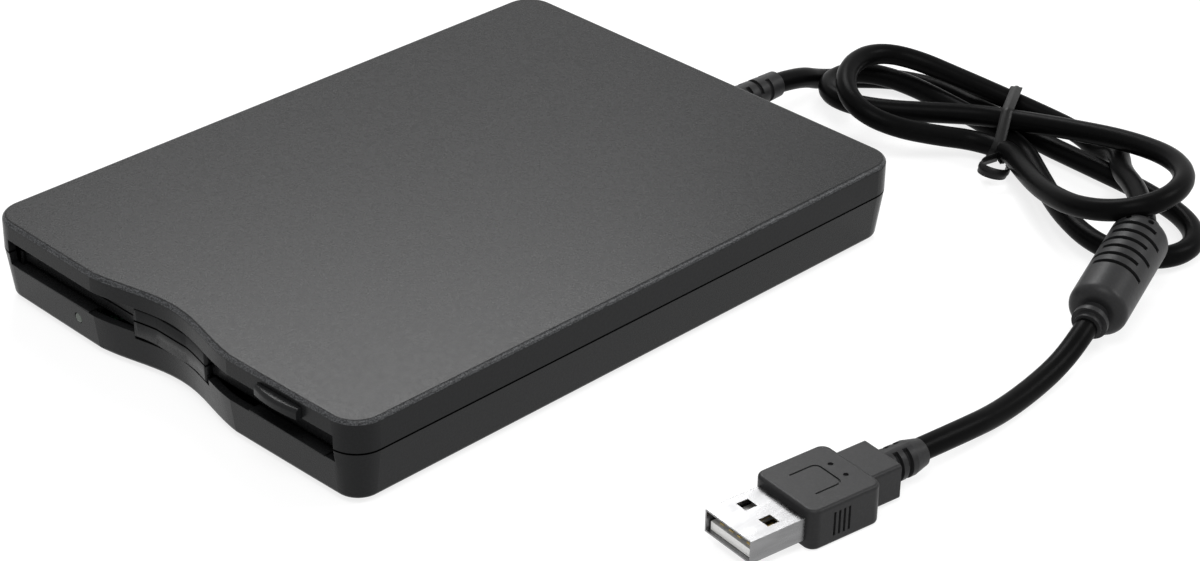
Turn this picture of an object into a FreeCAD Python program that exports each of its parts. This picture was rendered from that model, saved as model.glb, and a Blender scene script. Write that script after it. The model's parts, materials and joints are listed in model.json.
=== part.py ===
import FreeCAD, Part
import math
import os

# External floppy disk drive. Millimetres, +Z up, front face towards -Y.
# The origin is under the middle of the drive, level with the soles of its feet.

# Disk and the play round it
disk_width = 90.0
disk_side_gap = 0.2
bay_height = 4.3

# Lengths that add up to the case, from its front face to its back face
carrier_setback = 10.0
spindle_setback = 42.0
head_offset = 39.5
arm_length = 26.5
pivot_room = 4.5
stepper_length = 9.0
board_gap = 0.2
board_depth = 6.3
back_room = 4.0

# Walls, sheets and gaps that add up to the case, from its middle to its side
sheet = 0.6
slide_gap = 0.5
chassis_gap = 0.4
chassis_sheet = 0.8
side_room = 2.3
wall = 1.6

# Heights that add up to the case, from the soles of the feet to the top
foot_height = 0.8
board_lift = 0.5
board_thickness = 0.7
plate_gap = 0.3
dropped_gap = 1.4
carrier_drop = 2.2
lever_thickness = 0.6
lever_headroom = 1.0
shield_sheet = 0.3
shield_gap = 0.1

# Case
case_corner = 6.0
front_bow = 0.5
split_above_bottom = 10.2
bottom_taper = 1.4
top_edge_radius = 0.9
bottom_edge_radius = 1.0
tongue_height = 1.0
tongue_thickness = 0.7
tongue_gap = 0.08
foot_radius = 4.0
foot_chamfer = 0.25
rib_thickness = 0.8
rib_length = 11.0
boss_radius = 1.8
boss_gap = 0.2
back_boss_inset = 7.0
case_screw_radius = 0.9
case_head_radius = 1.5
case_head_height = 1.2
screw_grip = 3.4
screw_pilot = 0.7
socket_radius = 0.6
cover_overlap = 0.2

# Finger recess across the front, a single smooth wave
wave_centre_x = -1.0
wave_half_width = 22.0
wave_depth = 3.5
wave_steps = 8

# Disk slot, its door and the bezel that carries both
slot_margin = 1.3
slot_below_bay = 0.4
slot_above_bay = 0.7
thumb_notch_half = 11.0
thumb_notch_drop = 1.5
door_setback = 3.3
door_thickness = 0.8
door_gap = 0.1
door_end_gap = 0.3
door_pin_radius = 0.4
door_pin_reach = 1.0
cheek_thickness = 0.7
running_gap = 0.05
ledge_height = 0.4
ledge_bevel = 0.5
ledge_setback = 0.5
ledge_depth = 2.3
ledge_outer = 44.0
ledge_inner_left = 22.0
ledge_inner_right = 24.0
bar_height = 1.4
bar_depth = 1.2
bezel_gap = 0.15

# Eject button and activity light
button_centre_x = 33.0
button_width = 11.2
button_side_gap = 0.2
button_top_gap = 0.1
button_depth = 5.0
button_travel = 6.0
button_bow = 0.8
button_proud = 0.9
button_edge_radius = 0.7
light_x = -26.0
light_z = 5.5
light_radius = 1.1
light_setback = 0.9
light_pipe_length = 6.4
lamp_half = 1.6
lamp_depth = 1.6

# Disk carrier, its slide and the chassis
carrier_channel = 7.0
carrier_window = 7.0
carrier_overhang = 7.5
pin_radius = 0.8
pin_above_floor = 1.7
pin_front_setback = 16.0
pin_back_setback = 73.0
cam_dwell = 1.0
slide_front_setback = 9.0
slide_back_inset = 2.0
slide_height = 7.8
slide_strip = 4.0
slide_bar_depth = 5.0
slide_bar_ends = 9.0
button_arm_half = 4.0
chassis_wall_height = 8.6
chassis_low_wall = 3.4
chassis_front_overhang = 1.0
chassis_back_inset = 3.5
mech_screw_x = 33.0
mech_screw_front = 5.0
mech_screw_back = 4.0
mech_post_radius = 3.0
mech_head_radius = 1.9
mech_head_height = 0.9
spring_x = 37.0
spring_radius = 0.7
spring_lift = 0.75
lug_half = 1.0
lug_front = 2.0
lug_rise = 1.1

# Lever that draws the disk's shutter aside
lever_x = -34.0
lever_ahead_of_head = 6.5
lever_reach = 32.0
lever_rest = -76.0
lever_swing = 34.0
lever_eye_radius = 3.0
lever_half_width = 1.6
lever_tip_radius = 2.0
lever_finger_radius = 0.9
lever_finger_depth = 0.8
lever_pivot_radius = 1.2
lever_slot_gap = 0.4

# Spindle and its motor
spindle_opening = 26.0
board_half = 31.0
board_corner = 4.0
coil_count = 12
coil_inner = 15.0
coil_outer = 21.5
coil_height = 1.2
rotor_radius = 22.3
rotor_lift = 1.6
magnet_height = 0.6
magnet_inner = 14.5
yoke_thickness = 0.4
rim_thickness = 0.5
hub_radius = 10.0
hub_height = 0.5
shaft_radius = 1.5
shaft_rise = 1.4
bearing_radius = 3.5
bearing_flange_radius = 5.5
drive_pin_radius = 0.9
drive_pin_offset = 7.0

# Head carriage, upper arm and the drive of both
head_half = 1.6
head_travel = 14.8
carriage_half_width = 6.0
carriage_length = 19.0
carriage_lift = 0.4
carriage_thickness = 1.4
carriage_tongue = 1.0
post_half = 5.2
post_length = 4.8
fork_half = 3.4
arm_pivot_lift = 5.8
arm_pivot_radius = 0.8
arm_tilt = 10.0
arm_half = 3.0
arm_thickness = 0.6
head_gap = 0.15
rail_x = -9.0
rail_lift = 1.05
rail_radius = 0.9
rail_tail = 2.5
clip_half = 1.8
clip_length = 2.0
sleeve_half = 2.2
sleeve_length = 4.8
screw_x = 9.5
screw_lift = 5.2
screw_radius = 1.0
nut_wall = 0.6
nut_length = 1.6
bearing_plate = 1.2
travel_gap = 0.2
stepper_radius = 5.0
stepper_boss_radius = 2.2
bracket_half = 6.0
bracket_sheet = 0.6

# Switches that feel the disk, and the boards at the back
switch_x = 40.2
switch_half = 2.0
switch_height = 1.2
plunger_radius = 0.6
plunger_travel = 0.8
plunger_window = 0.5
control_board_side = 3.3
control_board_front = 8.0
control_board_back = 1.3
control_board_lift = 2.4
control_board_thickness = 0.8
usb_board_half = 32.0
usb_board_lift = 2.6
usb_board_thickness = 1.0
cable_half = 6.0
cable_x = -20.0
cable_film = 0.2

# Cord and its strain relief
cord_diameter = 4.4
relief_x = 2.6
relief_z = 9.0
relief_radius = 3.4
relief_tip_radius = 2.8
relief_length = 19.0
relief_neck = 2.9
relief_flange = 3.9
relief_flange_depth = 1.2
relief_slits = 5
relief_pitch = 3.0
relief_slit = 1.1
relief_spine = 0.9

# Tie that holds the hank
tie_x = 42.9
tie_y = 116.7
tie_heading = 29.0
tie_band = 0.6
tie_width = 2.4
tie_near = -10.5
tie_far = 11.6
tie_top = 9.6

# Moulded core
ferrite_radius = 5.8
ferrite_round = 2.2
core_neck_length = 4.2
core_groove_count = 6
core_groove_width = 1.0
core_groove_depth = 0.8
core_groove_pitch = 2.6
core_groove_sweep = 110.0

# Plug
plug_x = 103.7
plug_y = -33.2
plug_heading = 7.7
plug_shell_width = 12.0
plug_shell_height = 4.5
plug_shell_length = 11.8
plug_shell_wall = 0.3
plug_shell_seat = 3.0
plug_window = 2.5
plug_window_x = 2.9
plug_window_y = 5.2
plug_tongue_height = 1.7
plug_contact_width = 1.0
plug_contact_height = 0.2
plug_body_width = 15.6
plug_body_height = 8.0
plug_body_length = 16.0
plug_body_corner = 2.0
plug_edge_radius = 0.7
plug_neck_width = 10.0
plug_neck_height = 7.0
plug_neck_length = 6.6
plug_panel_half = 3.6
plug_panel_front = 3.0
plug_panel_length = 7.6
plug_panel_line = 0.35
plug_panel_depth = 0.25
plug_grip_count = 4
plug_grip_pitch = 1.1
plug_grip_front = 4.8
plug_relief_radius = 3.3
plug_relief_length = 9.0
plug_relief_tip = 3.1

# Places along the case, worked out from its lengths
case_length = (
    carrier_setback + spindle_setback + head_offset + arm_length + pivot_room
    + stepper_length + board_gap + board_depth + back_room
)
case_front = -case_length / 2
case_back = case_length / 2
carrier_front = case_front + carrier_setback
spindle_y = carrier_front + spindle_setback
head_y = spindle_y + head_offset
carrier_back = head_y + carrier_overhang
arm_pivot_y = head_y + arm_length
stepper_front = arm_pivot_y + pivot_room
usb_board_front = stepper_front + stepper_length + board_gap
usb_board_back = usb_board_front + board_depth
chassis_front = carrier_front - chassis_front_overhang
chassis_back = stepper_front + stepper_length - chassis_back_inset
pin_rows = (carrier_front + pin_front_setback, carrier_front + pin_back_setback)
slide_front = carrier_front + slide_front_setback
slide_back = carrier_back - slide_back_inset
door_face_y = case_front + door_setback
lever_y = head_y - lever_ahead_of_head
carriage_back = arm_pivot_y + post_length / 2 - 0.4
carriage_front = carriage_back - carriage_length
sleeve_front = carriage_back - sleeve_length - 0.2
nut_front = sleeve_front + 1.0
rail_front = sleeve_front - head_travel - clip_length - 6 * travel_gap
rail_back = stepper_front + rail_tail
screw_front = nut_front - head_travel - travel_gap - bearing_plate

# Places across the case
bay_half = disk_width / 2 + disk_side_gap
carrier_half = bay_half + sheet
slide_inner = carrier_half + slide_gap
slide_outer = slide_inner + sheet
chassis_inner = slide_outer + chassis_gap
chassis_half = chassis_inner + chassis_sheet
case_half = chassis_half + side_room + wall
slot_half = bay_half + slot_margin
cheek_inner = bay_half + door_gap
cheek_outer = cheek_inner + cheek_thickness
door_half = cheek_inner - door_end_gap

# Levels
body_bottom = foot_height
floor_top = body_bottom + wall
board_bottom = floor_top + board_lift
board_top = board_bottom + board_thickness
chassis_base = board_top + 0.2
chassis_top = chassis_base + chassis_sheet
slide_low = chassis_top + plate_gap
bay_floor = chassis_top + dropped_gap + carrier_drop + sheet
bay_top = bay_floor + bay_height
carrier_top = bay_top + sheet
lever_low = carrier_top + plate_gap
lever_high = lever_low + lever_thickness
shield_low = lever_high + lever_headroom
ceiling = shield_low + shield_sheet + shield_gap
body_top = ceiling + wall
split_z = body_bottom + split_above_bottom
slot_bottom = bay_floor - slot_below_bay
slot_top = bay_top + slot_above_bay
door_top = slot_top - door_end_gap
door_axis_y = door_face_y + door_thickness / 2
door_axis_z = door_top - door_thickness / 2
carrier_pin_z = bay_floor + pin_above_floor
button_low = slot_top + running_gap
button_high = ceiling - button_top_gap
button_arm_low = slot_top + slide_gap
rotor_bottom = board_top + rotor_lift
magnet_top = rotor_bottom + magnet_height
yoke_top = magnet_top + yoke_thickness
hub_top = yoke_top + hub_height
carriage_low = chassis_top + carriage_lift
arm_pivot_z = chassis_top + arm_pivot_lift
head_seat_z = arm_pivot_z - 3.6
rail_z = chassis_top + rail_lift
screw_z = chassis_top + screw_lift
usb_board_low = floor_top + usb_board_lift
usb_board_top = usb_board_low + usb_board_thickness

# Screws: front pair beside the slot, back pair in the corners, four for the mechanism
front_boss_x = cheek_outer + boss_gap + boss_radius
back_boss_x = case_half - back_boss_inset
screw_places = [
    (-front_boss_x, case_front + case_corner),
    (front_boss_x, case_front + case_corner),
    (-back_boss_x, case_back - back_boss_inset),
    (back_boss_x, case_back - back_boss_inset),
]
mech_screw_places = [
    (side * mech_screw_x, y)
    for side in (-1, 1)
    for y in (chassis_front + mech_screw_front, chassis_back - mech_screw_back)
]
switch_places = {"write_protect": (switch_x, lever_y), "density": (-switch_x, lever_y)}

# Cord route from the drive to the tied hank
lead_points = [
    (relief_x, case_back + relief_length, relief_z),
    (2.4, 98.0, 8.0),
    (1.2, 106.5, 3.9),
    (3.0, 114.5, 2.2),
    (9.5, 120.8, 2.2),
    (18.0, 124.2, 2.2),
    (26.5, 124.6, 2.2),
]
# Cord route from the hank into the moulded core
core_lead_points = [
    (72.8, 119.6, 7.6),
    (80.0, 111.4, 8.6),
    (88.0, 102.6, 9.8),
    (95.9, 93.5, 11.1),
]
# Cord route from the core to the plug
plug_lead_points = [
    (106.0, 61.9, 6.2),
    (107.5, 53.0, 3.2),
    (108.6, 43.0, 2.2),
    (109.6, 32.0, 2.3),
    (110.1, 22.0, 3.6),
    (109.0, 10.2, 4.0),
]
# Crossing places at the tie: offset across the bundle and height of the centre line
tie_crossings = {1: (4.4, 2.9), 2: (2.3, 2.9), 3: (-0.4, 6.9), 4: (-4.6, 2.9), 5: (9.7, 6.9)}
# Loops in their order along the cord: first crossing, last crossing, side of the tie,
# length, width, heading, lean, lift and fullness
hank_loops = [
    (1, 2, 1, 59.9, 23.6, -50.6, 2.2, 0.0, 1.53),
    (2, 3, -1, 38.1, -19.8, -9.3, 0.2, 1.4, 1.59),
    (3, 4, 1, 55.3, 27.8, -36.6, -12.0, 12.3, 1.9),
    (4, 5, -1, 33.1, 20.3, 1.7, 1.1, 7.0, 1.51),
]
loop_steps = 12


def vec(x, y, z):
    return FreeCAD.Vector(x, y, z)


def box(x0, x1, y0, y1, z0, z1):
    return Part.makeBox(x1 - x0, y1 - y0, z1 - z0, vec(x0, y0, z0))


def side_box(side, near, far, y0, y1, z0, z1):
    """Box between two distances from the middle plane, on one side of it."""
    x0, x1 = sorted((side * near, side * far))
    return box(x0, x1, y0, y1, z0, z1)


def rod(radius, start, direction, length):
    return Part.makeCylinder(radius, length, vec(*start), vec(*direction))


def disc(radius, x, y, z0, z1):
    return rod(radius, (x, y, z0), (0, 0, 1), z1 - z0)


def ring(outer, inner, x, y, z0, z1):
    return disc(outer, x, y, z0, z1).cut(disc(inner, x, y, z0 - 1, z1 + 1))


def fuse(shapes):
    whole = shapes[0]
    for piece in shapes[1:]:
        whole = whole.fuse(piece)
    return whole.removeSplitter()


def cut(shape, tools):
    for tool in tools:
        shape = shape.cut(tool)
    return shape.removeSplitter()


def group(shapes):
    return Part.makeCompound(shapes)


def turned(shape, centre, axis, angle):
    copy = shape.copy()
    copy.rotate(vec(*centre), vec(*axis), angle)
    return copy


def prism(points, direction):
    wire = Part.makePolygon([vec(*p) for p in points + points[:1]])
    return Part.Face(wire).extrude(vec(*direction))


def corner_arc(x, y, z, radius, first):
    """Quarter circle in plan, counter-clockwise from the first angle."""
    circle = Part.Circle(vec(x, y, z), vec(0, 0, 1), radius)
    return Part.Arc(circle, math.radians(first), math.radians(first + 90)).toShape()


def rounded_box(x0, x1, y0, y1, z0, z1, radius):
    corners = [
        corner_arc(x1 - radius, y0 + radius, z0, radius, -90),
        corner_arc(x1 - radius, y1 - radius, z0, radius, 0),
        corner_arc(x0 + radius, y1 - radius, z0, radius, 90),
        corner_arc(x0 + radius, y0 + radius, z0, radius, 180),
    ]
    sides = []
    for here, after in zip(corners, corners[1:] + corners[:1]):
        sides.append(here)
        sides.append(Part.makeLine(here.Vertexes[-1].Point, after.Vertexes[0].Point))
    return Part.Face(Part.Wire(sides)).extrude(vec(0, 0, z1 - z0))


def edges_at(shape, z):
    found = []
    for edge in shape.Edges:
        bounds = edge.BoundBox
        if abs(bounds.ZMin - z) < 1e-4 and abs(bounds.ZMax - z) < 1e-4:
            found.append(edge)
    return found


def case_inset(z):
    """How far the tapered lower half stands in from the full outline at a height."""
    return bottom_taper * (split_z - z) / split_above_bottom


def case_wire(inset, z):
    """Plan outline of the case: bowed front, straight sides and back, round corners."""
    half = case_half - inset
    radius = case_corner - inset
    front = case_front + inset
    back = case_back - inset
    shoulder = front + front_bow
    left = vec(radius - half, shoulder, z)
    right = vec(half - radius, shoulder, z)
    edges = [Part.Arc(left, vec(0, front, z), right).toShape()]
    for x, y, first in (
        (half - radius, shoulder + radius, -90),
        (half - radius, back - radius, 0),
        (radius - half, back - radius, 90),
        (radius - half, shoulder + radius, 180),
    ):
        arc = corner_arc(x, y, z, radius, first)
        last = edges[-1].Vertexes[-1].Point
        if last.distanceToPoint(arc.Vertexes[0].Point) > 1e-6:
            edges.append(Part.makeLine(last, arc.Vertexes[0].Point))
        edges.append(arc)
    return Part.Wire(edges)


def case_block(low_inset, low_z, high_inset, high_z):
    wires = [case_wire(low_inset, low_z), case_wire(high_inset, high_z)]
    return Part.makeLoft(wires, True, True)


def wave_wire(inset, z):
    """Outline of the finger recess, from in front of the case to the wave itself."""
    half = wave_half_width + max(0, inset - bottom_taper)
    points = []
    for i in range(wave_steps + 1):
        across = 2 * i / wave_steps - 1
        depth = wave_depth * (1 + math.cos(math.pi * across)) / 2
        points.append(vec(wave_centre_x + half * across, case_front + depth + inset, z))
    curve = Part.BSplineCurve()
    curve.interpolate(points)
    outside = case_front - wave_depth
    left = vec(points[0].x, outside, z)
    right = vec(points[-1].x, outside, z)
    edges = [
        curve.toShape(),
        Part.makeLine(points[-1], right),
        Part.makeLine(right, left),
        Part.makeLine(left, points[0]),
    ]
    return Part.Wire(edges)


def wave_block(low_inset, low_z, high_inset, high_z):
    wires = [wave_wire(low_inset, low_z), wave_wire(high_inset, high_z)]
    return Part.makeLoft(wires, True, True)


def tongue(outer_inset, top_z):
    """Ring inside the wall that centres the two case halves, left out along the front."""
    outside = case_block(outer_inset, split_z, outer_inset, top_z)
    inside = case_block(wall, split_z - 1, wall, top_z + 1)
    front = case_front + wave_depth + case_corner
    keep_out = box(-case_half, case_half, case_front - 1, front, split_z - 1, top_z + 1)
    return outside.cut(inside).cut(keep_out)


def relief_hole():
    return rod(relief_neck, (relief_x, case_back - 2 * wall, relief_z), (0, 1, 0), 4 * wall)


def slot_cut():
    deep = case_front + wave_depth + wall + 1
    return box(-slot_half, slot_half, case_front - 2, deep, slot_bottom, slot_top)


def top_cover():
    block = case_block(0, split_z, 0, body_top)
    block = block.cut(wave_block(0, split_z - 1, 0, body_top + 1))
    block = block.makeFillet(top_edge_radius, edges_at(block, body_top))
    hollow = case_block(wall, split_z - 1, wall, ceiling)
    hollow = hollow.cut(wave_block(wall, split_z - 2, wall, body_top))
    shell = block.cut(hollow)
    notch_half = button_width / 2 + button_side_gap
    notch = box(
        button_centre_x - notch_half,
        button_centre_x + notch_half,
        case_front - 2,
        case_front + wall + front_bow,
        slot_top - 1,
        button_high + button_side_gap,
    )
    groove_inset = wall - tongue_thickness - tongue_gap
    groove = tongue(groove_inset, split_z + tongue_height + tongue_gap)
    shell = cut(shell, [slot_cut(), notch, groove])
    for x, y in screw_places:
        boss = disc(boss_radius, x, y, split_z, ceiling + cover_overlap)
        pilot = disc(screw_pilot, x, y, split_z - 1, split_z + screw_grip + cover_overlap)
        shell = shell.fuse(boss).cut(pilot)
    ribs = []
    for side in (-1, 1):
        near = back_boss_x - 9.0
        front = case_back - wall - rib_length
        low = ceiling - rib_thickness
        ribs.append(side_box(side, near, near + rib_thickness, front, case_back - 1, low, ceiling + 0.2))
    return fuse([shell] + ribs).cut(relief_hole())


def bottom_cover():
    block = case_block(case_inset(body_bottom), body_bottom, 0, split_z)
    under = body_bottom - 1
    over = split_z + 1
    block = block.cut(wave_block(case_inset(under), under, case_inset(over), over))
    block = block.makeFillet(bottom_edge_radius, edges_at(block, body_bottom))
    hollow = case_block(case_inset(floor_top) + wall, floor_top, case_inset(over) + wall, over)
    hollow = hollow.cut(wave_block(case_inset(under) + wall, under, case_inset(over) + wall, over))
    shell = block.cut(hollow)
    shell = shell.fuse(tongue(wall - tongue_thickness, split_z + tongue_height))
    thumb_low = slot_bottom - thumb_notch_drop
    thumb = box(-thumb_notch_half, thumb_notch_half, case_front - 2, case_front + 8, thumb_low, over)
    light = rod(light_radius, (light_x, case_front - 1, light_z), (0, 1, 0), light_pipe_length)
    shell = cut(shell, [slot_cut(), thumb, light, relief_hole()])
    head_top = body_bottom + case_head_height + cover_overlap
    for x, y in screw_places:
        shell = shell.fuse(disc(boss_radius, x, y, floor_top - cover_overlap, split_z))
        shell = shell.cut(disc(case_screw_radius + boss_gap / 2, x, y, under, over))
        shell = shell.cut(disc(case_head_radius + boss_gap, x, y, under, head_top))
    for x, y in mech_screw_places:
        post = disc(mech_post_radius, x, y, floor_top - cover_overlap, chassis_base)
        shell = shell.fuse(post).cut(disc(screw_pilot, x, y, floor_top + 0.1, chassis_base + 1))
    rest_front = usb_board_front + 1
    rest_back = usb_board_back - 1
    low = floor_top - cover_overlap
    for side in (-1, 1):
        rest_x = usb_board_half - 2 * case_corner
        shell = shell.fuse(side_box(side, rest_x, rest_x + 5, rest_front, rest_back, low, usb_board_low))
        rib_x = chassis_half - 8.0
        rib_front = carrier_back - 4.0
        shell = shell.fuse(
            side_box(side, rib_x, rib_x + rib_thickness, rib_front, rib_front + 22, low, chassis_base)
        )
    return shell.removeSplitter()


def rubber_feet():
    feet = []
    for x in (-case_half + 12, case_half - 12):
        for y in (case_front + 19, case_back - 15):
            foot = disc(foot_radius, x, y, 0, foot_height)
            feet.append(foot.makeChamfer(foot_chamfer, edges_at(foot, 0)))
    return group(feet)


def case_screws():
    screws = []
    for x, y in screw_places:
        head_top = body_bottom + case_head_height + cover_overlap
        head = disc(case_head_radius, x, y, body_bottom + cover_overlap, head_top)
        shank = disc(case_screw_radius, x, y, head_top - 0.1, split_z - 0.01)
        tip = disc(screw_pilot, x, y, split_z - 0.02, split_z + screw_grip)
        socket = disc(socket_radius, x, y, body_bottom, body_bottom + case_head_height / 2)
        screws.append(fuse([head, shank, tip]).cut(socket))
    return group(screws)


def slot_bezel():
    """Inner frame of the slot: two disk guides, a cross bar and cheeks that hold the door."""
    bar_low = slot_bottom - bar_height
    foot_low = slot_bottom - ledge_bevel
    front = case_front + ledge_setback
    ledge_top = slot_bottom + ledge_height
    seat = slot_bottom + bezel_gap / 5
    inside = case_front + wall + front_bow + case_inset(bar_low) + bezel_gap
    bar_front = case_front + wave_depth + wall + case_inset(bar_low) + bezel_gap
    back = bar_front + bar_depth
    pieces = [box(-cheek_outer, cheek_outer, bar_front, back, bar_low, slot_bottom)]
    for side, inner in ((-1, ledge_inner_left), (1, ledge_inner_right)):
        low_x = min(side * inner, side * ledge_outer)
        profile = [
            (low_x, front, seat),
            (low_x, front, ledge_top - 0.1),
            (low_x, front + ledge_bevel, ledge_top),
            (low_x, front + ledge_depth, ledge_top),
            (low_x, front + ledge_depth, seat),
        ]
        pieces.append(prism(profile, (ledge_outer - inner, 0, 0)))
        pieces.append(side_box(side, inner, ledge_outer, inside, back, foot_low, seat))
        pieces.append(side_box(side, cheek_inner, cheek_outer, inside, back, bar_low, slot_top + ledge_height))
    hole_radius = door_pin_radius + running_gap
    hole = rod(hole_radius, (-slot_half, door_axis_y, door_axis_z), (1, 0, 0), 2 * slot_half)
    return fuse(pieces).cut(hole)


def dust_door():
    door_back = door_face_y + door_thickness
    low = slot_bottom + ledge_height + door_gap
    plate = box(-door_half, door_half, door_face_y, door_back, low, door_top)
    rib_half = door_half - 5.0
    rib = box(-rib_half, rib_half, door_back - 0.1, door_back + door_pin_radius, low + 1, low + 1.6)
    pins = []
    for side in (-1, 1):
        start = (side * (door_half - door_pin_reach), door_axis_y, door_axis_z)
        pins.append(rod(door_pin_radius, start, (side, 0, 0), 2 * door_pin_reach))
    return fuse([plate, rib] + pins)


def eject_button():
    half = button_width / 2
    face = case_front - button_proud
    nose = face - button_bow
    back = case_front + button_depth
    left = vec(button_centre_x - half, face, button_low)
    right = vec(button_centre_x + half, face, button_low)
    edges = [
        Part.Arc(left, vec(button_centre_x, nose, button_low), right).toShape(),
        Part.makeLine(right, vec(right.x, back, button_low)),
        Part.makeLine(vec(right.x, back, button_low), vec(left.x, back, button_low)),
        Part.makeLine(vec(left.x, back, button_low), left),
    ]
    block = Part.Face(Part.Wire(edges)).extrude(vec(0, 0, button_high - button_low))
    rims = [e for e in edges_at(block, button_high) if e.BoundBox.YMax < case_front]
    block = block.makeFillet(button_edge_radius, rims)
    bevel = [
        (left.x - 1, nose - 0.5, button_low - 0.5),
        (left.x - 1, nose - 0.5, button_low + 0.6),
        (left.x - 1, face + 1.6, button_low - 0.5),
    ]
    return block.cut(prism(bevel, (button_width + 2, 0, 0)))


def activity_light_pipe():
    start = case_front + light_setback
    pipe = rod(light_radius - running_gap, (light_x, start, light_z), (0, 1, 0), light_pipe_length)
    rim = [e for e in pipe.Edges if abs(e.BoundBox.YMax - start) < 1e-4]
    return pipe.makeFillet(light_setback / 3, rim)


def activity_led():
    """Lamp behind the light pipe, on a post that stands on the spindle board."""
    lamp_y = case_front + light_setback + light_pipe_length
    lamp_back = lamp_y + lamp_depth
    low = light_z - light_radius
    lamp = box(light_x - lamp_half, light_x + lamp_half, lamp_y, lamp_back, low, light_z + light_radius)
    post_half = lamp_half - 0.4
    post = box(light_x - post_half, light_x + post_half, lamp_y + 0.2, lamp_back, board_top, low + 0.1)
    return fuse([lamp, post])


def motor_board():
    front = spindle_y - board_half + 2
    back = spindle_y + board_half + board_corner * 3
    board = rounded_box(-board_half, board_half, front, back, board_bottom, board_top, board_corner)
    tab_front = case_front + light_setback + light_pipe_length + 0.1
    tab_half = lamp_half + 1.4
    tab = box(light_x - tab_half, light_x + tab_half, tab_front, front + 1, board_bottom, board_top)
    holes = [disc(bearing_radius, 0, spindle_y, board_bottom - 1, board_top + 1)]
    for i in range(3):
        angle = math.radians(30 + 120 * i)
        x = (rotor_radius + 5) * math.cos(angle)
        y = spindle_y + (rotor_radius + 5) * math.sin(angle)
        holes.append(disc(1.2, x, y, board_bottom - 1, board_top + 1))
    return cut(board.fuse(tab), holes)


def stator_coils():
    """Flat wound coils in a circle, each a wedge with a wedge-shaped eye."""
    share = math.pi / coil_count * 0.82
    coils = []
    for i in range(coil_count):
        wedges = []
        for near, far, scale, low, high in (
            (coil_inner, coil_outer, 1.0, board_top, board_top + coil_height),
            (coil_inner + 1.8, coil_outer - 1.8, 0.42, board_top - 1, board_top + coil_height + 1),
        ):
            near_half = near * math.tan(share * scale)
            far_half = far * math.tan(share * scale)
            points = [
                (near, spindle_y - near_half, low),
                (far, spindle_y - far_half, low),
                (far, spindle_y + far_half, low),
                (near, spindle_y + near_half, low),
            ]
            wedges.append(prism(points, (0, 0, high - low)))
        coil = wedges[0].cut(wedges[1])
        coils.append(turned(coil, (0, spindle_y, 0), (0, 0, 1), 360.0 * i / coil_count))
    return group(coils)


def spindle_bearing():
    bore = shaft_radius + running_gap / 2
    sleeve_low = board_bottom - board_lift / 2
    sleeve = ring(bearing_radius, bore, 0, spindle_y, sleeve_low, rotor_bottom - plate_gap)
    flange = ring(bearing_flange_radius, bore, 0, spindle_y, board_top, board_top + sheet)
    return fuse([sleeve, flange])


def spindle_parts():
    magnet = ring(rotor_radius - rim_thickness - 0.1, magnet_inner, 0, spindle_y, rotor_bottom, magnet_top)
    yoke = ring(rotor_radius, shaft_radius, 0, spindle_y, magnet_top, yoke_top)
    rim = ring(rotor_radius, rotor_radius - rim_thickness, 0, spindle_y, rotor_bottom, magnet_top)
    hub = ring(hub_radius, shaft_radius, 0, spindle_y, yoke_top, hub_top)
    pin_hole = disc(drive_pin_radius, drive_pin_offset, spindle_y, yoke_top - 1, hub_top + 1)
    shaft_top = hub_top + shaft_rise
    shaft = disc(shaft_radius, 0, spindle_y, board_bottom - 0.2, shaft_top)
    pin = disc(drive_pin_radius, drive_pin_offset, spindle_y, yoke_top, hub_top + sheet)
    return {
        "rotor_magnet": magnet,
        "rotor_yoke": fuse([yoke, rim]),
        "spindle_hub": hub.cut(pin_hole),
        "spindle_shaft": shaft.makeChamfer(0.4, edges_at(shaft, shaft_top)),
        "drive_pin": pin,
    }


def chassis():
    """Base plate with upright walls, guide slots for the carrier's pins and spring lugs."""
    base = box(-chassis_half, chassis_half, chassis_front, chassis_back, chassis_base, chassis_top)
    wall_back = carrier_back + 6
    wall_top = chassis_top + chassis_wall_height
    low_top = chassis_top + chassis_low_wall
    pieces = [base]
    for side in (-1, 1):
        pieces.append(
            side_box(side, chassis_inner, chassis_half, chassis_front, wall_back, chassis_base, wall_top)
        )
        pieces.append(
            side_box(side, chassis_inner, chassis_half, wall_back, chassis_back, chassis_base, low_top)
        )
        lug_y = chassis_front + lug_front
        lug_x = spring_x
        pieces.append(
            side_box(
                side, lug_x - lug_half, lug_x + lug_half, lug_y, lug_y + sheet,
                chassis_top - 0.1, slide_low + sheet + lug_rise,
            )
        )
    guide_half = pin_radius + running_gap
    guide_low = carrier_pin_z - carrier_drop - guide_half
    reach = chassis_half + 1
    cuts = [disc(spindle_opening, 0, spindle_y, chassis_base - 1, chassis_top + 1)]
    for y in pin_rows:
        cuts.append(box(-reach, reach, y - guide_half, y + guide_half, guide_low, wall_top + 1))
    for x, y in mech_screw_places:
        cuts.append(disc(screw_pilot + plate_gap, x, y, chassis_base - 1, chassis_top + 1))
    for side in (-1, 1):
        window_x = sorted((side * (screw_x + 3.5), side * (screw_x + 12.5)))
        cuts.append(
            rounded_box(
                window_x[0], window_x[1], carrier_back + 2, carrier_back + 14,
                chassis_base - 1, chassis_top + 1, 3.0,
            )
        )
    lamp_back = case_front + light_setback + light_pipe_length + lamp_depth
    lamp_room = lamp_half + plate_gap
    cuts.append(
        box(
            light_x - lamp_room, light_x + lamp_room, chassis_front - 1, lamp_back + plate_gap,
            chassis_base - 1, chassis_top + 1,
        )
    )
    return cut(fuse(pieces), cuts)


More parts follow.
